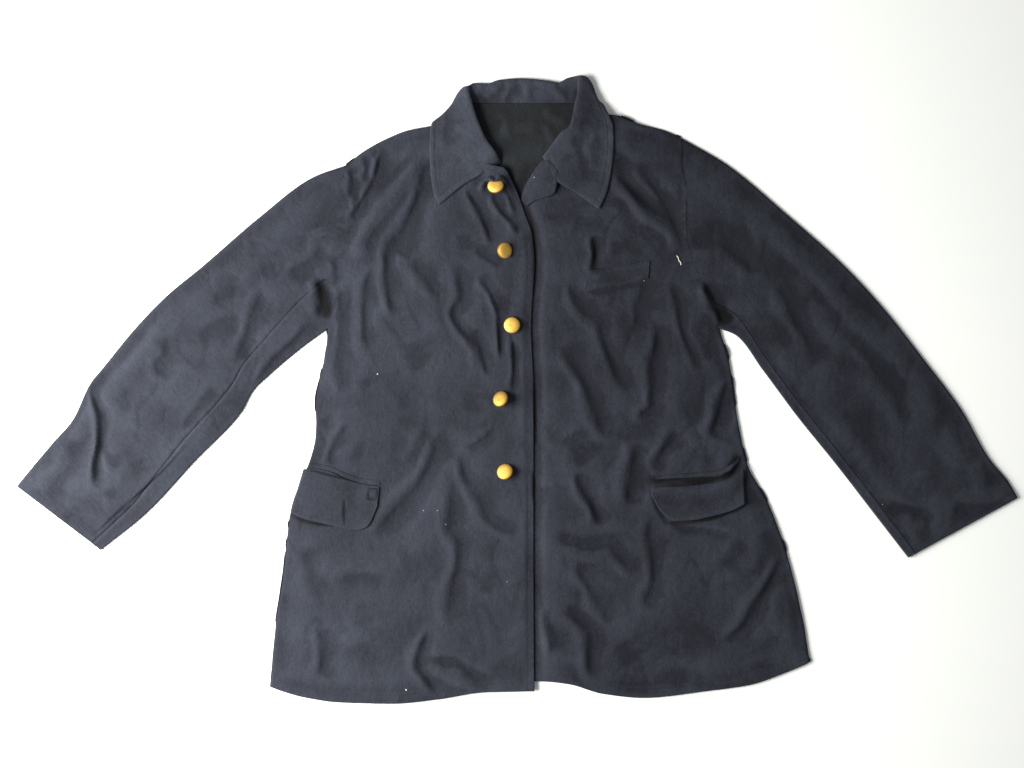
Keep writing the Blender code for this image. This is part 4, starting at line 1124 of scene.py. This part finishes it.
def make_back():
    """The back, a little smaller all round than the layer above it."""
    centre = place(BACK_CENTRE)

    def edge(side, armhole, way):
        """One side seam and armhole, drawn in."""
        low = place(side)
        low[:, 0] += way * BACK_INSET
        low[0, 1] += BACK_INSET
        low[-1, 1] -= BACK_INSET
        arm = place(armhole)[1:]
        arm[-1, 1] -= BACK_INSET
        return np.vstack([low, arm])

    left = edge(SIDE_RIGHT, ARMHOLE_RIGHT, 1)
    right = edge(SIDE_LEFT, ARMHOLE_LEFT, -1)
    up = np.linspace(0.0, 1.0, 170)
    left = resampled(left, up, 1)
    right = resampled(right, up, 1)
    right_shoulder = drawn_in(place(SHOULDER_RIGHT[1:]), centre, BACK_INSET)
    left_shoulder = drawn_in(place(SHOULDER_LEFT[-1:0:-1]), centre, BACK_INSET)
    top = np.vstack([left[-1:], right_shoulder, place(NECK_SEAM), left_shoulder, right[-1:]])
    across = np.linspace(0.0, 1.0, 150)
    top = resampled(top, across, 0)
    hem = place(HEM_RIGHT[:-1] + [HEM_MEETING] + HEM_LEFT[-3::-1])
    hem[:, 1] += BACK_INSET
    hem[0], hem[-1] = left[0], right[0]
    low = resampled(hem, across, 0)
    plan = patch(low, top, left, right, across, up)
    slack = soft_maximum(folds_on(plan, BACK_FOLDS) + 0.5 * crumple(plan, 30) + 0.4 * MM, 0.0)
    under_collar = ease((place(COLLAR_FOOT)[1] - plan[..., 1]) / (8 * MM))
    from_neck = np.linalg.norm(plan - place(NECK_MIDDLE), axis=-1)
    slack *= 1.0 - ease((from_neck - 55 * MM) / (30 * MM))
    grid = upper_surface(plan, TABLE_CLEAR + back_underside(plan) + slack * under_collar)
    return cloth_shell("back", grid, SHELL, -1, 0.0, [INSIDE_IN_SHADE, NAVY])


# The back is slack only inside the neck opening, below the collar's foot
NECK_MIDDLE = (524, 150)
COLLAR_FOOT = (0, 95)

# A sleeve tucks in under the front, and its front seam has a groove with a ridge beside it
TUCK = 3.5 * MM
TUCK_DROP = 0.4 * MM
TUCK_REACH = 7 * MM
SEAM_LAP = 2.2 * MM
SEAM_GROOVE = {"right": 0.7 * MM, "left": 0.0 * MM}
SEAM_RIDGE = {"right": 0.5 * MM, "left": 0.05 * MM}
PUCKER = 0.4 * MM

# About how long a sleeve is, how wide its upper piece is and its strip below the seam
SLEEVE_LENGTH = 0.56
UPPER_WIDTH = 0.13
STRIP_WIDTH = 0.03


def make_sleeve(side, outer, inner, armhole, seam_share, away, folds, seed):
    """Both pieces of a sleeve. The upper one lies on top. The under one lies below and comes
    round the underarm fold to the front seam. Both end under the front at the armhole."""
    over, under = place(outer), place(inner)
    along = spaced(SLEEVE_LENGTH, 236, end=False)
    over = resampled(over, along)
    under = resampled(under, along)
    arm = dense(armhole[::-1], 60)
    arm[:, 0] -= away * TUCK
    arm_shares = length_shares(arm)
    over[-1], under[-1] = arm[0], arm[-1]
    ending = ease((along - 0.94) / 0.06)[:, None]
    over += ending * (arm[0] - over) * 0.15
    under += ending * (arm[-1] - under) * 0.15
    over[-1], under[-1] = arm[0], arm[-1]
    stations, shares = np.transpose(seam_share)
    seam_place = smooth_through(stations, shares[:, None], along)[:, 0]
    width = np.linalg.norm(over - under, axis=1)

    def at(shares):
        """Points of the sleeve, where shares gives the places across it for each row."""
        v = shares[..., None]
        t = along[:, None, None]
        cuff_point = over[0] + (under[0] - over[0]) * v
        arm_point = read_at(shares, arm_shares, arm)
        sides = (1 - v) * over[:, None] + v * under[:, None]
        sides = sides + (1 - t) * cuff_point + t * arm_point
        return sides - (1 - t) * cuff_point - t * ((1 - v) * over[-1] + v * under[-1])

    def upper_height(points):
        """Underside of the upper layer, tucked under the front at the armhole."""
        height = upper_underside(points, loft_on(points, folds))
        base = back_underside(points) + CLOTH
        gap = distance_to_line(points, arm)[0] - TUCK
        tuck = TUCK_DROP * (1.0 - ease(gap / TUCK_REACH))
        ridge = ARMHOLE_RIDGE[side]
        height = height + seam_relief(points, ARMHOLE_LINES[side], ridge, ARMHOLE_SEED)
        tuck = tuck * (0.8 + 0.6 * soft_noise(points, 22 * MM, seed))
        return np.maximum(height - tuck, np.minimum(height, base + 0.2 * MM))

    grain = math.atan2(*((arm[0] + arm[-1] - over[0] - under[0])[::-1]))
    columns = spaced(UPPER_WIDTH, 44)
    plan = at(seam_place[:, None] * columns[None])
    heights = turned_over(plan, upper_height(plan), [dense(outer, 60)])
    upper = upper_surface(plan, heights)
    finish_edge(upper, "first row", CUFF_INSET)
    seam_side = edge_first(upper, "last column")
    beside = distance_in(seam_side)
    puckers = soft_noise(seam_side[..., :2], 9 * MM, seed + 3) * bell(beside, 10 * MM)
    seam_side[..., 2] += (0.7 * SEAM_RIDGE[side] * bell(beside - 4 * MM, 3 * MM)
                          - SEAM_GROOVE[side] * bell(beside, 1.2 * MM) + PUCKER * puckers)
    upper_piece = cloth_shell(f"sleeve_{side}_upper", upper, SHELL, -1, grain,
                              [NAVY])

    lap = SEAM_LAP / width
    strip = spaced(STRIP_WIDTH, 12, end=False)
    strip = (seam_place - lap)[:, None] + (1.0 - seam_place + lap)[:, None] * strip[None]
    end_height = upper_height(at(strip[:, -1:]))[:, 0]
    half_step = (end_height / 2 / width)[:, None]
    strip -= half_step * ease((strip - strip[:, :1]) / (strip[:, -1:] - strip[:, :1]))
    angles = np.radians(np.linspace(18, 162, 9))
    bend = 1.0 - half_step * (1.0 - np.sin(angles))[None]
    back_seam = BACK_INSET / width[:, None]
    below = strip[:, -1:] + (back_seam - strip[:, -1:]) * np.linspace(0, 1, 24)[None]
    shares = np.hstack([strip, bend, below])
    plan = at(shares)
    middle = SHELL / 2 + TABLE_CLEAR
    heights = np.full(shares.shape, middle)
    count = strip.shape[1]
    top = upper_height(plan[:, :count]) + SHELL / 2
    from_seam = (strip - strip[:, :1]) * width[:, None]
    top -= 1.3 * MM * (1.0 - ease((from_seam - SEAM_LAP * 0.6) / (3 * MM)))
    top += SEAM_RIDGE[side] * bell(from_seam - 5 * MM, 3 * MM)
    heights[:, :count] = np.maximum(top, middle)
    half = (heights[:, count - 1:count] - middle) / 2
    heights[:, count:count + len(angles)] = middle + half * (1.0 + np.cos(angles))[None]
    lower = np.dstack([plan, heights])
    cloth_shell(f"sleeve_{side}_under", lower, SHELL, 0, grain, [NAVY])
    return upper_piece, upper


# A fall lower than this, in mm, goes round behind the neck. Above it, the collar rests on the
# shoulders
WRAP_HEIGHT = 6.0
REST_ABOVE = 1.6 * MM
SHOULDER_STACK = COLLAR_BED + 2 * CLOTH + LAYER_GAP + EDGE_HEIGHT
ROLL_BACK = 2.5 * UNIT

# Heights in mm over the cloth below, from the neck seam over the roll to the edge: of the collar's
# ends, and of its stand at the sides of the neck and behind it. The first end turns down
END_HEIGHTS = np.array([1.5, 1.5, 1.7, 2.7, 3.8, 2.6, 1.2, 1.0, 0.9]) * MM
SIDE_STAND = np.array([5.0, 6.0, 7.4, 9.4, 10.4]) * MM
BACK_STAND = np.array([4.5, 5.4, 6.0, 3.9, 1.5]) * MM
FIRST_END_DROP = np.array([-5.5, -5.5, -5.5, -4.8, -3.6, -1.2]) * MM

# Places of the points round the collar from end to end, and across it from seam to edge
END_STEPS = np.array([0, 0.012, 0.03, 0.055, 0.09, 0.14])
LEAF_STEPS = np.concatenate([np.linspace(0, 2, 9), np.linspace(2.2, 4.2, 13),
                             np.linspace(4.4, 7.75, 30), [7.84, 7.9, 7.94, 7.97, 7.99, 8.0]])


def make_collar(trees):
    """The collar: a stand at the neck seam, a roll, and a fall that turns under the back."""
    sections = []
    for number, (seam, fold, middle, rim, edge, heights) in enumerate(COLLAR_SECTIONS):
        seam, fold, middle, rim, edge = (place(point) for point in (seam, fold, middle, rim, edge))
        out = (middle - fold) / np.linalg.norm(middle - fold)
        stand_way = (seam - fold) / np.linalg.norm(seam - fold)
        wrapped = heights is not ON_FRONT and heights[1] < WRAP_HEIGHT
        under = rim + (edge - rim) * (0.25 if wrapped else 0.5)
        plan = np.array([seam, seam + (fold - seam) * 0.5, fold + stand_way * ROLL_BACK, fold,
                         fold + out * ROLL_BACK, middle, rim, under, edge])
        if heights is ON_FRONT:
            base = highest(plan, trees, 3.5 * MM)
            base[:5] = base[:5].max()
            base = np.maximum(base, SHOULDER_STACK)
            level = base + END_HEIGHTS
        else:
            middle_height, rim_height, edge_height = (height * MM for height in heights)
            under_height = edge_height if wrapped else (rim_height + edge_height) / 2
            behind = middle_height < WRAP_HEIGHT * MM
            stand = BACK_STAND if behind else SIDE_STAND
            level = np.array([*stand, middle_height, rim_height, under_height, edge_height])
            rest = highest(plan, trees, 3.5 * MM) + REST_ABOVE
            if not behind:
                raised = (level > WRAP_HEIGHT * MM) & (rest > REST_ABOVE)
                level = np.where(raised, np.maximum(level, rest), level)
        level = level + ROLL_RISE.get(number, 0.0) * MM * ROLL_SHARE
        if number == 0:
            level[:6] = level[6] + FIRST_END_DROP
        sections.append(np.column_stack([plan, level]))
    sections = np.array(sections)
    count = len(sections)
    rows = np.concatenate([END_STEPS, np.linspace(0.2, count - 1.2, 300),
                           count - 1 - END_STEPS[::-1]])
    round_neck = smooth_through(np.arange(count), sections.reshape(count, -1), rows)
    round_neck = round_neck.reshape(len(rows), 9, 3)
    grid = np.array([smooth_through(np.arange(9), row, LEAF_STEPS) for row in round_neck])
    on_front = (rows <= FRONT_ROWS_RIGHT + 0.3) | (rows >= FRONT_ROWS_LEFT - 0.3)
    fall_columns = LEAF_STEPS >= 3.6
    rest = highest(grid[on_front][:, fall_columns][..., :2], trees) + COLLAR_SHELL / 2 + 0.25 * MM
    part = grid[np.ix_(on_front, fall_columns)]
    lift = np.maximum(rest - part[..., 2], 0.0)
    past_roll = ease((LEAF_STEPS[fall_columns] - 4.7) / 0.6)
    laid = np.maximum(ease(rows[on_front] / 0.9)[:, None], past_roll)
    part[..., 2] += np.maximum(blurred(lift, 3), lift) * laid
    grid[np.ix_(on_front, fall_columns)] = part
    shaped = folds_on(grid[..., :2], COLLAR_FOLDS) + 0.45 * crumple(grid[..., :2], 40)
    visible = grid[..., 2] > 4.2 * MM
    grid[..., 2] += shaped * visible
    for side in ("first row", "last row", "last column"):
        finish_edge(grid, side, LEAF_INSET, drop=0.7 * MM, band=0.3 * MM)
    grid[..., 2] = np.maximum(grid[..., 2], COLLAR_SHELL / 2 + TABLE_CLEAR)
    cloth_shell("collar", grid, COLLAR_SHELL, 0, 0.4,
                [RUBBED_NAVY])
    return grid


# About how long the smaller pieces are
SMALL_LENGTH = 0.1


def make_laid_piece(name, sections, trees, rows, columns, lift, thickness, edges):
    """A small piece that lies on a panel: its sections give two edges, and lift its rise.
    edges gives the sides that are turned and stitched, with the distance of the stitches."""
    first = place([row[0] for row in sections])
    second = place([row[1] for row in sections])
    along = spaced(SMALL_LENGTH, columns)
    first = resampled(first, along)
    second = resampled(second, along)
    share = spaced(float(np.linalg.norm(first - second, axis=1).mean()), rows)[:, None]
    plan = (1 - share[..., None]) * first[None] + share[..., None] * second[None]
    rest = highest(plan, trees)
    bridged = np.maximum(blurred(rest, 4), rest)
    bridged = np.maximum(blurred(bridged, 2), rest)
    height = bridged + LAYER_GAP + lift(share, along[None]) + 0.3 * crumple(plan, 50)
    grid = np.dstack([plan, np.maximum(height, rest + 0.1 * MM) + thickness])
    for side, inset in edges.items():
        finish_edge(grid, side, inset, drop=0.8 * thickness, band=0.2 * MM, groove=0.35 * MM)
    return cloth_shell(name, grid, thickness, -1, 0.1, [NAVY]), grid


def flap_lift(share, along):
    """The lower edge stands off a little, most of all at the side seam."""
    return (0.3 + 2.6 * (1.0 - ease(along / 0.6))) * MM * share


def open_flap_lift(share, along):
    """The lower front edge lies flat and the top stands open at the pocket mouth."""
    return (3.2 * (1.0 - ease(share / 0.6)) + (2.4 - 1.6 * along) * share) * MM


def no_lift(share, along):
    """A piece that lies close all over."""
    return 0.0 * share * along


def lapel_lift(share, along):
    """The facing rises to meet the collar, and its fold side stands off the front."""
    return (0.9 * (1.0 - share) + 3.3 * ease(along) + 0.4) * MM


back = make_back()
hem_edge = {"first row": HEM_INSET}
front_edges = {"first row": HEM_INSET, "last column": FRONT_INSET}
front_right, front_right_points = make_front(
    "right", right_front_underside,
    (SIDE_RIGHT, ARMHOLE_RIGHT, SHOULDER_RIGHT, HEM_RIGHT, EDGE_RIGHT), front_edges)
front_left, front_left_points = make_front(
    "left", left_front_underside,
    (SIDE_LEFT, ARMHOLE_LEFT, SHOULDER_LEFT, HEM_LEFT, EDGE_LEFT), hem_edge)
sleeve_right, sleeve_right_points = make_sleeve(
    "right", OUTER_RIGHT, INNER_RIGHT, ARMHOLE_RIGHT, SEAM_SHARE_RIGHT, -1, RIGHT_FOLDS, 60)
sleeve_left, sleeve_left_points = make_sleeve(
    "left", OUTER_LEFT, INNER_LEFT, ARMHOLE_LEFT, SEAM_SHARE_LEFT, 1, LEFT_FOLDS, 80)
on_back, on_right, on_left = trees_of(back, front_right, front_left)
collar_points = make_collar([on_back, on_right, on_left])
lapel, lapel_points = make_laid_piece(
    "lapel_left", LAPEL_SECTIONS, [on_left], 16, 40, lapel_lift, SHELL,
    {"last row": LAPEL_INSET, "first column": LAPEL_INSET})
flap_edges = {"last row": FLAP_INSET, "first column": FLAP_INSET, "last column": FLAP_INSET}
flap_right, flap_right_points = make_laid_piece(
    "flap_right", FLAP_RIGHT, [on_right], 26, 52, flap_lift, 1.5 * MM,
    flap_edges)
_, flap_left_points = make_laid_piece(
    "flap_left", FLAP_LEFT, [on_left], 26, 52, open_flap_lift, 1.5 * MM,
    flap_edges)
jet_edge = {"first row": JET_INSET}
_, jet_right_points = make_laid_piece(
    "jet_right", JET_RIGHT, [on_right], 4, 52, no_lift, 0.6 * MM,
    jet_edge)
_, jet_left_points = make_laid_piece(
    "jet_left", JET_LEFT, [on_left], 4, 52, no_lift, 0.6 * MM,
    jet_edge)
welt_ends = {"first column": WELT_INSET, "last column": WELT_INSET}
welt, welt_points = make_laid_piece(
    "breast_welt", BREAST_WELT, [on_left], 12, 44, no_lift, 0.9 * MM,
    {"first row": WELT_INSET, **welt_ends})


# Stitches


def stitch_form():
    """One stitch: a short thread that dips at both ends."""
    bpy.ops.object.select_all(action="DESELECT")
    bpy.ops.mesh.primitive_ico_sphere_add(subdivisions=1, radius=THREAD_RADIUS)
    form = bpy.context.object
    bpy.ops.object.mode_set(mode="EDIT")
    bpy.ops.transform.resize(value=(STITCH_LENGTH / 2 / THREAD_RADIUS, 1.0, 0.8))
    bpy.ops.object.mode_set(mode="OBJECT")
    points = np.array([v.co for v in form.data.vertices])
    faces = np.array([p.vertices for p in form.data.polygons])
    bpy.data.objects.remove(form, do_unlink=True)
    return points, faces


# Height of a thread's middle over the cloth
STITCH_LIFT = 0.12 * MM


def stitches_along(points, ups, form):
    """Stitches of one line, as points."""
    along = lengths_along(points)
    places = np.arange(STITCH_PITCH / 2, along[-1], STITCH_PITCH)
    centre = read_at(places, along, points)
    ahead = read_at(places + STITCH_PITCH / 4, along, points)
    behind = read_at(places - STITCH_PITCH / 4, along, points)
    way = unit(ahead - behind)
    side = unit(np.cross(read_at(places, along, ups), way))
    up = np.cross(way, side)
    axes = np.stack([way, side, up], axis=1)
    made = centre[:, None] + np.einsum("pk,nkc->npc", form, axes) + STITCH_LIFT * up[:, None]
    return made.reshape(-1, 3)


def draped(corners, trees):
    """A line between corners, laid on the cloth below it: its points and normals."""
    ends = place(corners)
    steps = [np.linspace(one, two, 12)[:-1] for one, two in zip(ends[:-1], ends[1:])]
    plan = np.vstack([*steps, ends[-1:]])
    points = np.column_stack([plan, highest(plan, trees)])
    return points, np.tile([0.0, 0.0, 1.0], (len(points), 1))


# Lines of stitches, as each grid with its stitched edges
STITCHED = [
    (front_right_points, front_edges), (front_left_points, hem_edge),
    (flap_right_points, flap_edges),
    (flap_left_points, {"last row": FLAP_INSET, "last column": FLAP_INSET}),
    (welt_points, welt_ends), (jet_right_points, jet_edge), (jet_left_points, jet_edge),
    (collar_points, {"first row": LEAF_INSET, "last row": LEAF_INSET}),
    (lapel_points, {"last row": LAPEL_INSET}),
    (sleeve_right_points, {"first row": CUFF_INSET}),
    (sleeve_left_points, {"first row": CUFF_INSET})]

# The collar's long edge is stitched where it lies higher than this, and not where it goes under
SHOWN_HEIGHT = 4.5 * MM


def make_topstitching():
    """All the lines of stitches, as one piece."""
    form, faces = stitch_form()
    lines = [draped(FLAP_TACK, trees_of(flap_right))]
    for grid, edges in STITCHED:
        lines += [line_in(grid, side, inset) for side, inset in edges.items()]
    edge_points, edge_ups = line_in(collar_points, "last column", LEAF_INSET)
    shown = edge_points[:, 2] > SHOWN_HEIGHT
    halves = np.flatnonzero(np.diff(shown.astype(int)))
    for part in np.split(np.arange(len(shown)), halves + 1):
        if shown[part].all() and len(part) > 8:
            lines.append((edge_points[part], edge_ups[part]))
    made = np.vstack([stitches_along(points, ups, form) for points, ups in lines])
    count = len(made) // len(form)
    all_faces = (faces[None] + (np.arange(count) * len(form))[:, None, None]).reshape(-1, 3)
    mesh = bpy.data.meshes.new("topstitching")
    mesh.from_pydata(made.tolist(), [], all_faces.tolist())
    mesh.materials.append(THREAD)
    piece = add_object("topstitching", mesh)
    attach(piece, "root")


make_topstitching()


# Buttons

# The turned rim, the hollow flat back inside it, and the wire shank
RIM_HEIGHT = 0.55 * MM
RIM_WIDTH = 0.7 * MM
RIM_ROUND = 0.25 * MM
HOLLOW_SLOPE = 1.5 * MM
HOLLOW_DEPTH = 0.5 * MM
SHANK_RADIUS = 2.3 * MM
SHANK_DEPTH = 1.6 * MM
WIRE_RADIUS = 0.7 * MM


def make_button(number, centre, tilt, lean, polish_and_shade):
    """A domed brass button with a turned rim, a flat back and a wire shank."""
    name = f"button_{number}"
    bpy.ops.object.select_all(action="DESELECT")
    bpy.ops.mesh.primitive_uv_sphere_add(segments=48, ring_count=24, radius=BUTTON_RADIUS)
    dome = bpy.context.object
    bpy.ops.object.mode_set(mode="EDIT")
    bpy.ops.mesh.select_all(action="SELECT")
    bpy.ops.mesh.bisect(plane_co=(0, 0, 0), plane_no=(0, 0, 1), clear_inner=True, use_fill=True)
    bpy.ops.mesh.select_mode(type="FACE")
    bpy.ops.mesh.select_all(action="DESELECT")
    bpy.ops.object.mode_set(mode="OBJECT")
    for vertex in dome.data.vertices:
        out = min(math.hypot(vertex.co.x, vertex.co.y) / BUTTON_RADIUS, 1.0)
        vertex.co.z = BUTTON_HEIGHT * (1.0 - out ** 3.0) ** 0.6
    for face in dome.data.polygons:
        face.select = len(face.vertices) > 8
    bpy.ops.object.mode_set(mode="EDIT")
    bpy.ops.mesh.extrude_region_move(TRANSFORM_OT_translate={"value": (0, 0, -RIM_HEIGHT)})
    bpy.ops.mesh.inset(thickness=RIM_WIDTH)
    bpy.ops.mesh.inset(thickness=HOLLOW_SLOPE, depth=-HOLLOW_DEPTH)
    bpy.ops.mesh.select_all(action="SELECT")
    bpy.ops.mesh.normals_make_consistent(inside=False)
    bpy.ops.object.mode_set(mode="OBJECT")
    rim = dome.modifiers.new("Rim", "BEVEL")
    rim.width = RIM_ROUND
    rim.segments = 3
    rim.limit_method = "ANGLE"
    rim.angle_limit = math.radians(50)
    bpy.ops.object.modifier_apply(modifier="Rim")
    bpy.ops.mesh.primitive_torus_add(major_segments=24, minor_segments=10,
                                     major_radius=SHANK_RADIUS, minor_radius=WIRE_RADIUS,
                                     location=(0, 0, -SHANK_DEPTH),
                                     rotation=(math.pi / 2, 0, 0))
    shank = bpy.context.object
    bpy.ops.object.select_all(action="DESELECT")
    shank.select_set(True)
    dome.select_set(True)
    bpy.context.view_layer.objects.active = dome
    bpy.ops.object.join()
    dome.name = f"{name}_brass"
    dome.data.name = dome.name
    wear_and_shade = dome.data.attributes.new("wear_and_shade", "FLOAT", "POINT")
    # Worn bright on the dome and darkened at the rim edge, scaled for each button, which paints
    # some buttons darker as shade
    rub_and_shade = [polish_and_shade * (1.0 - ease((math.hypot(v.co.x, v.co.y) / BUTTON_RADIUS - 0.86) / 0.12))
              if v.co.z > 0 else 0.15 for v in dome.data.vertices]
    wear_and_shade.data.foreach_set("value", rub_and_shade)
    middle = place(centre)
    axis = Vector((-math.sin(math.radians(lean)), math.cos(math.radians(lean)), 0.0))
    turned = Matrix.Translation((*middle, 0.0)) @ Matrix.Rotation(math.radians(tilt), 4, axis)
    dome.data.transform(turned)
    lowest = min(vertex.co.z for vertex in dome.data.vertices)
    dome.data.transform(Matrix.Translation((0, 0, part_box(name)[0][2] - BUTTON_SINK - lowest)))
    dome.data.materials.clear()
    dome.data.materials.append(BRASS)
    select_only(dome)
    bpy.ops.object.shade_smooth_by_angle(angle=math.radians(45))
    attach(dome, "root")
    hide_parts(name)


for number, row in enumerate(BUTTONS, 1):
    make_button(number, *row)


# Lint and the thread end

# Fluff and the thread end lie just above the cloth
FLUFF_LIFT = 0.2 * MM
END_LIFT = 0.5 * MM
END_RADIUS = 0.55 * MM


def make_lint(trees):
    """Specks of fluff that lie on the cloth, and a thread end, as one piece."""
    parts = []
    spots = place([row[:2] for row in LINT])
    heights = highest(spots, trees)
    for number, ((x, y), z) in enumerate(zip(spots, heights)):
        bpy.ops.object.select_all(action="DESELECT")
        bpy.ops.mesh.primitive_ico_sphere_add(subdivisions=2, radius=LINT[number][2] * MM,
                                              location=(x, y, z + FLUFF_LIFT))
        fluff = bpy.context.object
        fluff.scale = (1.0 + 0.3 * (number % 3), 0.8, 0.4)
        fluff.rotation_euler[2] = 1.1 * number
        parts.append(fluff)
    thread = dense(THREAD_END, 14)
    level = highest(thread, trees) + END_LIFT
    for (x0, y0), (x1, y1), z0, z1 in zip(thread[:-1], thread[1:], level[:-1], level[1:]):
        start, end = Vector((x0, y0, z0)), Vector((x1, y1, z1))
        bpy.ops.object.select_all(action="DESELECT")
        bpy.ops.mesh.primitive_uv_sphere_add(segments=8, ring_count=6, radius=END_RADIUS,
                                             location=(start + end) / 2)
        link = bpy.context.object
        link.scale = (1.0, 1.0, (end - start).length / MM)
        link.rotation_euler = (end - start).to_track_quat("Z", "Y").to_euler()
        parts.append(link)
    bpy.ops.object.select_all(action="DESELECT")
    for part in parts:
        part.select_set(True)
    bpy.context.view_layer.objects.active = parts[0]
    bpy.ops.object.transform_apply(location=True, rotation=True, scale=True)
    bpy.ops.object.join()
    lint = bpy.context.object
    lint.name = "lint"
    lint.data.materials.clear()
    lint.data.materials.append(FLUFF)
    bpy.ops.object.shade_smooth()
    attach(lint, "root")


make_lint(trees_of(front_right, front_left, lapel, welt, sleeve_right, sleeve_left))


# Table top, light and camera


def make_table():
    """A table top that reaches far past the picture."""
    bpy.ops.object.select_all(action="DESELECT")
    bpy.ops.mesh.primitive_plane_add(size=8.0, location=(0, 0, 0))
    table = bpy.context.object
    table.name = "table_top"
    table.data.materials.append(PAPER)


def add_area_light(name, position, aim, size, power, colour):
    """A soft light from a rectangle that faces a point."""
    data = bpy.data.lights.new(name, "AREA")
    data.shape = "RECTANGLE"
    data.size, data.size_y = size
    data.energy = power
    data.color = linear(colour)[:3]
    light = add_object(name, data)
    light.location = position
    light.rotation_euler = (Vector(aim) - Vector(position)).to_track_quat("-Z", "Y").to_euler()


make_table()
add_area_light("window", (-1.3, -0.14, 0.84), (0.0, 0.0, 0.0), (1.0, 1.0), 86.0, "#fffdf8")

world = bpy.data.worlds.new("studio")
bpy.context.scene.world = world
world.use_nodes = True
world.node_tree.nodes["Background"].inputs["Color"].default_value = linear("#f4f6f8")
world.node_tree.nodes["Background"].inputs["Strength"].default_value = 0.38
bpy.context.scene.view_settings.view_transform = "Standard"

# The photograph looks straight down, and its middle is a little off the jacket's
CAMERA_HEIGHT = 1.9
SENSOR_WIDTH = 36.0
FRAME_WIDTH = 1024 * UNIT
camera_data = bpy.data.cameras.new("camera")
camera_data.sensor_width = SENSOR_WIDTH
camera_data.lens = SENSOR_WIDTH * CAMERA_HEIGHT / FRAME_WIDTH
camera_data.clip_start = 0.05
camera = add_object("camera", camera_data)
camera.location = (*place((512, 384)), CAMERA_HEIGHT)
bpy.context.scene.camera = camera
